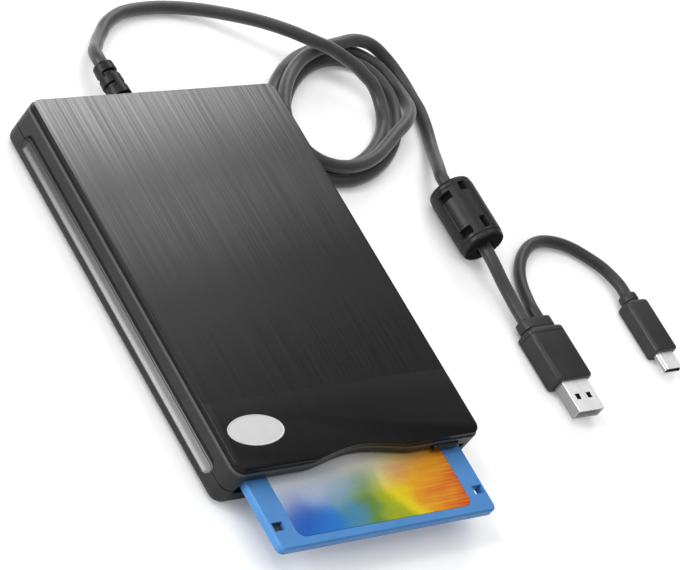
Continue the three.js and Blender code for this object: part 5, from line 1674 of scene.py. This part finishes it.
@dataclass(frozen=True)
class LargePlug:
    """The type A plug's overmould, through whose back both cords pass.

    Each station is a place along Y from the back, half the width, half the height and the corner's radius.
    """

    back: float = -0.013
    cord_apart: float = 0.0034
    stations: tuple[tuple[float, float, float, float], ...] = (
        (0.0, 0.0064, 0.0027, 0.0022), (-0.0003, 0.0069, 0.0031, 0.0025), (-0.0008, 0.007, 0.0032, 0.0026),
        (-0.0038, 0.007, 0.0032, 0.0026), (-0.0041, 0.0067, 0.003, 0.0024), (-0.0045, 0.0068, 0.0031, 0.0022),
        (-0.0047, 0.0076, 0.0036, 0.0018), (-0.0051, 0.008, 0.0039, 0.0016), (-0.0056, 0.0081, 0.004, 0.0016),
        (-0.0066, 0.0081, 0.004, 0.0016), (-0.0067, 0.00795, 0.00385, 0.0015), (-0.0069, 0.00795, 0.00385, 0.0015),
        (-0.007, 0.0081, 0.004, 0.0016), (-0.0246, 0.0081, 0.004, 0.0016), (-0.0252, 0.0079, 0.0038, 0.0015),
        (-0.0255, 0.0075, 0.0034, 0.0012),
    )

    def body_mesh(self) -> bpy.types.Mesh:
        """A collar, a stepped shoulder, a fine groove and an eased front.

        Returns:
            The mesh.
        """
        x, z = LARGE_PLUG_AXIS
        return lofted_mesh("type_a_overmould", np.array(self.stations), (x, self.back, z))


@dataclass(frozen=True)
class SmallPlug:
    """The type C plug: its overmould and its shell, as stations like the larger plug's."""

    back: float = -0.0079
    shell_back: float = -0.0325
    shell_wall: float = 0.0003
    stations: tuple[tuple[float, float, float, float], ...] = (
        (0.0, 0.0027, 0.0023, 0.0019), (-0.0003, 0.0031, 0.0026, 0.0022), (-0.0007, 0.0032, 0.0027, 0.0023),
        (-0.0029, 0.0032, 0.0027, 0.0023), (-0.0032, 0.0029, 0.0024, 0.002), (-0.0036, 0.003, 0.0025, 0.002),
        (-0.0038, 0.0047, 0.0029, 0.0016), (-0.0042, 0.0052, 0.0031, 0.0014), (-0.0048, 0.0053, 0.0032, 0.0014),
        (-0.0238, 0.0053, 0.0032, 0.0014), (-0.0243, 0.0052, 0.0031, 0.0013), (-0.0246, 0.0048, 0.0027, 0.001),
    )

    def body_mesh(self) -> bpy.types.Mesh:
        """A short collar, a step and a long flat body with eased ends.

        Returns:
            The mesh.
        """
        x, z = SMALL_PLUG_AXIS
        return lofted_mesh("type_c_overmould", np.array(self.stations), (x, self.back, z))

    def shell_mesh(self) -> bpy.types.Mesh:
        """A flattened tube with a rolled front lip, drawn along the outside, over the lip and back inside.

        Returns:
            The mesh.
        """
        half_x, half_z = 0.00415, 0.0013
        inner_x, inner_z = half_x - self.shell_wall, half_z - self.shell_wall
        stations = np.array((
            (0.0, half_x, half_z, half_z), (-0.0062, half_x, half_z, half_z), (-0.0066, 0.0041, 0.00125, 0.00125),
            (-0.0067, 0.004, 0.00115, 0.00115), (-0.00665, 0.0039, 0.00105, 0.00105),
            (-0.0064, inner_x, inner_z, inner_z), (-0.0003, inner_x, inner_z, inner_z),
        ))
        x, z = SMALL_PLUG_AXIS
        return lofted_mesh("type_c_shell", stations, (x, self.shell_back, z), 14)


@dataclass(frozen=True)
class Lead:
    """The lead from the strain relief through its coil and ferrite to the plugs.

    The routes are points in millimetres before the lead's shift: from the sleeve to the coil, from the coil
    to the ferrite, from there to the larger plug, and from the larger plug round to the smaller one.
    """

    radius: float = 0.00225
    pigtail_radius: float = 0.0021
    lift: float = 0.00005
    tuck: float = 0.003
    slip: float = 0.0003
    sleeve_hold: float = 0.004
    lead_in: float = 0.0048
    pigtail_lead_in: float = 0.0045
    lead_out: float = 0.00255
    around: int = 24
    shell_edge: float = 0.00014
    tongue_edge: float = 0.0001
    relief: StrainRelief = StrainRelief()
    core: FerriteCore = FerriteCore()
    coil: Coil = Coil()
    large: LargePlug = LargePlug()
    small: SmallPlug = SmallPlug()
    shift: Point = (0.0, 0.012, 0.0)
    out_route: tuple[Point, ...] = (
        (-3.6, 94.6, 6.6), (0, 98.2, 4.9), (3.8, 101.9, 3.4), (7.6, 105.2, 2.5), (11.5, 108.7, 2.3),
        (16.1, 111.4, 2.3), (21.6, 113.5, 2.3), (32.3, 114.8, 2.3), (42.8, 114.4, 2.5), (53.8, 111.3, 4.2),
        (63.3, 104.6, 8.3), (70, 99.6, 10.7), (77.6, 94.4, 12), (85.6, 89.7, 11.9), (91.2, 87.2, 11.2),
        (95.6, 85.4, 9.9),
    )
    run_route: tuple[Point, ...] = (
        (123.9, 57.5, 2.3), (121.6, 51.6, 2.5), (118.2, 45.6, 3.8), (114.6, 40, 5.8), (111.6, 35.4, 7.4),
    )
    tail_route: tuple[Point, ...] = ((110.7, -3.5, 7.2), (111.5, -9.5, 5.7), (112.3, -15.5, 4.5))
    pigtail_route: tuple[Point, ...] = (
        (120.6, -16.4, 3.4), (123.1, -9.6, 2.6), (126.6, -3.7, 2.3), (131.5, 1.5, 2.3), (137.5, 5.1, 2.3),
        (143.8, 6.5, 2.3), (150.1, 5.5, 2.3), (156, 2.6, 2.3), (161.2, -2.4, 2.4), (164.8, -7.6, 2.7),
    )

    def build(self, bench: Bench) -> None:
        """Makes the strain relief, both cords, the ferrite and the plugs.

        Args:
            bench: where the pieces are put.
        """
        f = bench.finishes
        relief = bench.put(self.relief.mesh(), f.sleeve, "casing", ("strain_relief",))
        ferrite = bench.put(self.core.mesh(), f.ferrite, "casing", ("ferrite",))
        body_a = bench.put(self.large.body_mesh(), f.overmould, "casing", ("usb_a_body",))
        shell_a = bench.refine("usb_a_shell", "type_a_shell", f.shell_a, "casing", self.shell_edge)
        body_c = bench.put(self.small.body_mesh(), f.overmould, "casing", ("usb_c_body",))
        shell_c = bench.put(self.small.shell_mesh(), f.shell_c, "casing", ("usb_c_shell",))
        tongue_a = bench.refine("usb_a_tongue", "type_a_tongue", f.tongue_a, "casing", self.tongue_edge)
        tongue_c = bench.refine("usb_c_tongue", "type_c_tongue", f.chip, "casing", self.tongue_edge)
        line = self.main_line()
        main_tube = tube_mesh("main_lead", line, self.radius, self.around)
        stood_for = ("cord_lead", "cord_coil", "cord_run", "cord_tail")
        main_cord = bench.put(main_tube, f.cord, "casing", stood_for)
        branch = self.pigtail_line()
        branch_tube = tube_mesh("pigtail_lead", branch, self.pigtail_radius, self.around)
        pigtail = bench.put(branch_tube, f.pigtail, "casing", ("cord_pigtail",))

    def laid(self, route: Sequence[Point]) -> np.ndarray:
        """Gives a route in metres, moved with the lead.

        Args:
            route: its points in millimetres.

        Returns:
            The points, one row each.
        """
        return np.array(route) * MM + np.array(self.shift)

    def main_line(self) -> np.ndarray:
        """Draws the main cord from inside the strain relief, through the coil and ferrite, into the plug.

        Returns:
            The centreline's points.
        """
        relief, core, plug = self.relief, self.core, self.large
        tip = relief.wall + relief.length
        leaving = along_y(relief.x, relief.z, relief.wall + self.tuck, tip - self.sleeve_hold, tip + self.slip,
                          tip + self.slip + self.radius)
        coil = self.coil.points(self.radius, self.lift)
        x, z = FERRITE_AXIS
        through = along_y(x, z, core.back + self.lead_in, core.back, (core.back + core.front) / 2, core.front,
                          core.front - self.lead_out)
        x, z = LARGE_PLUG_AXIS
        end = along_y(x - plug.cord_apart, z, plug.back + self.lead_in, plug.back, plug.back - self.tuck)
        return smooth_line(np.concatenate((
            leaving, self.laid(self.out_route), coil, self.laid(self.run_route), through,
            self.laid(self.tail_route), end,
        )), 6)

    def pigtail_line(self) -> np.ndarray:
        """Draws the short cord from one plug round to the other.

        Returns:
            The centreline's points.
        """
        x, z = LARGE_PLUG_AXIS
        back = self.large.back
        start = along_y(x + self.large.cord_apart, z, back - self.tuck, back + self.slip, back + self.pigtail_lead_in)
        x, z = SMALL_PLUG_AXIS
        back = self.small.back
        end = along_y(x, z, back + self.pigtail_lead_in, back, back - self.tuck)
        return smooth_line(np.concatenate((start, self.laid(self.pigtail_route), end)), 8)


def main() -> None:
    """Builds the studio and every sub-assembly."""
    logging.basicConfig(level=logging.INFO, format="%(name)s %(message)s")
    Studio().build()
    bench = Bench(Finishes())
    Lead().build(bench)
    Casing().build(bench)
    FloppyDisc().build(bench)
    Mechanism().build(bench)


if __name__ == "__main__":
    main()
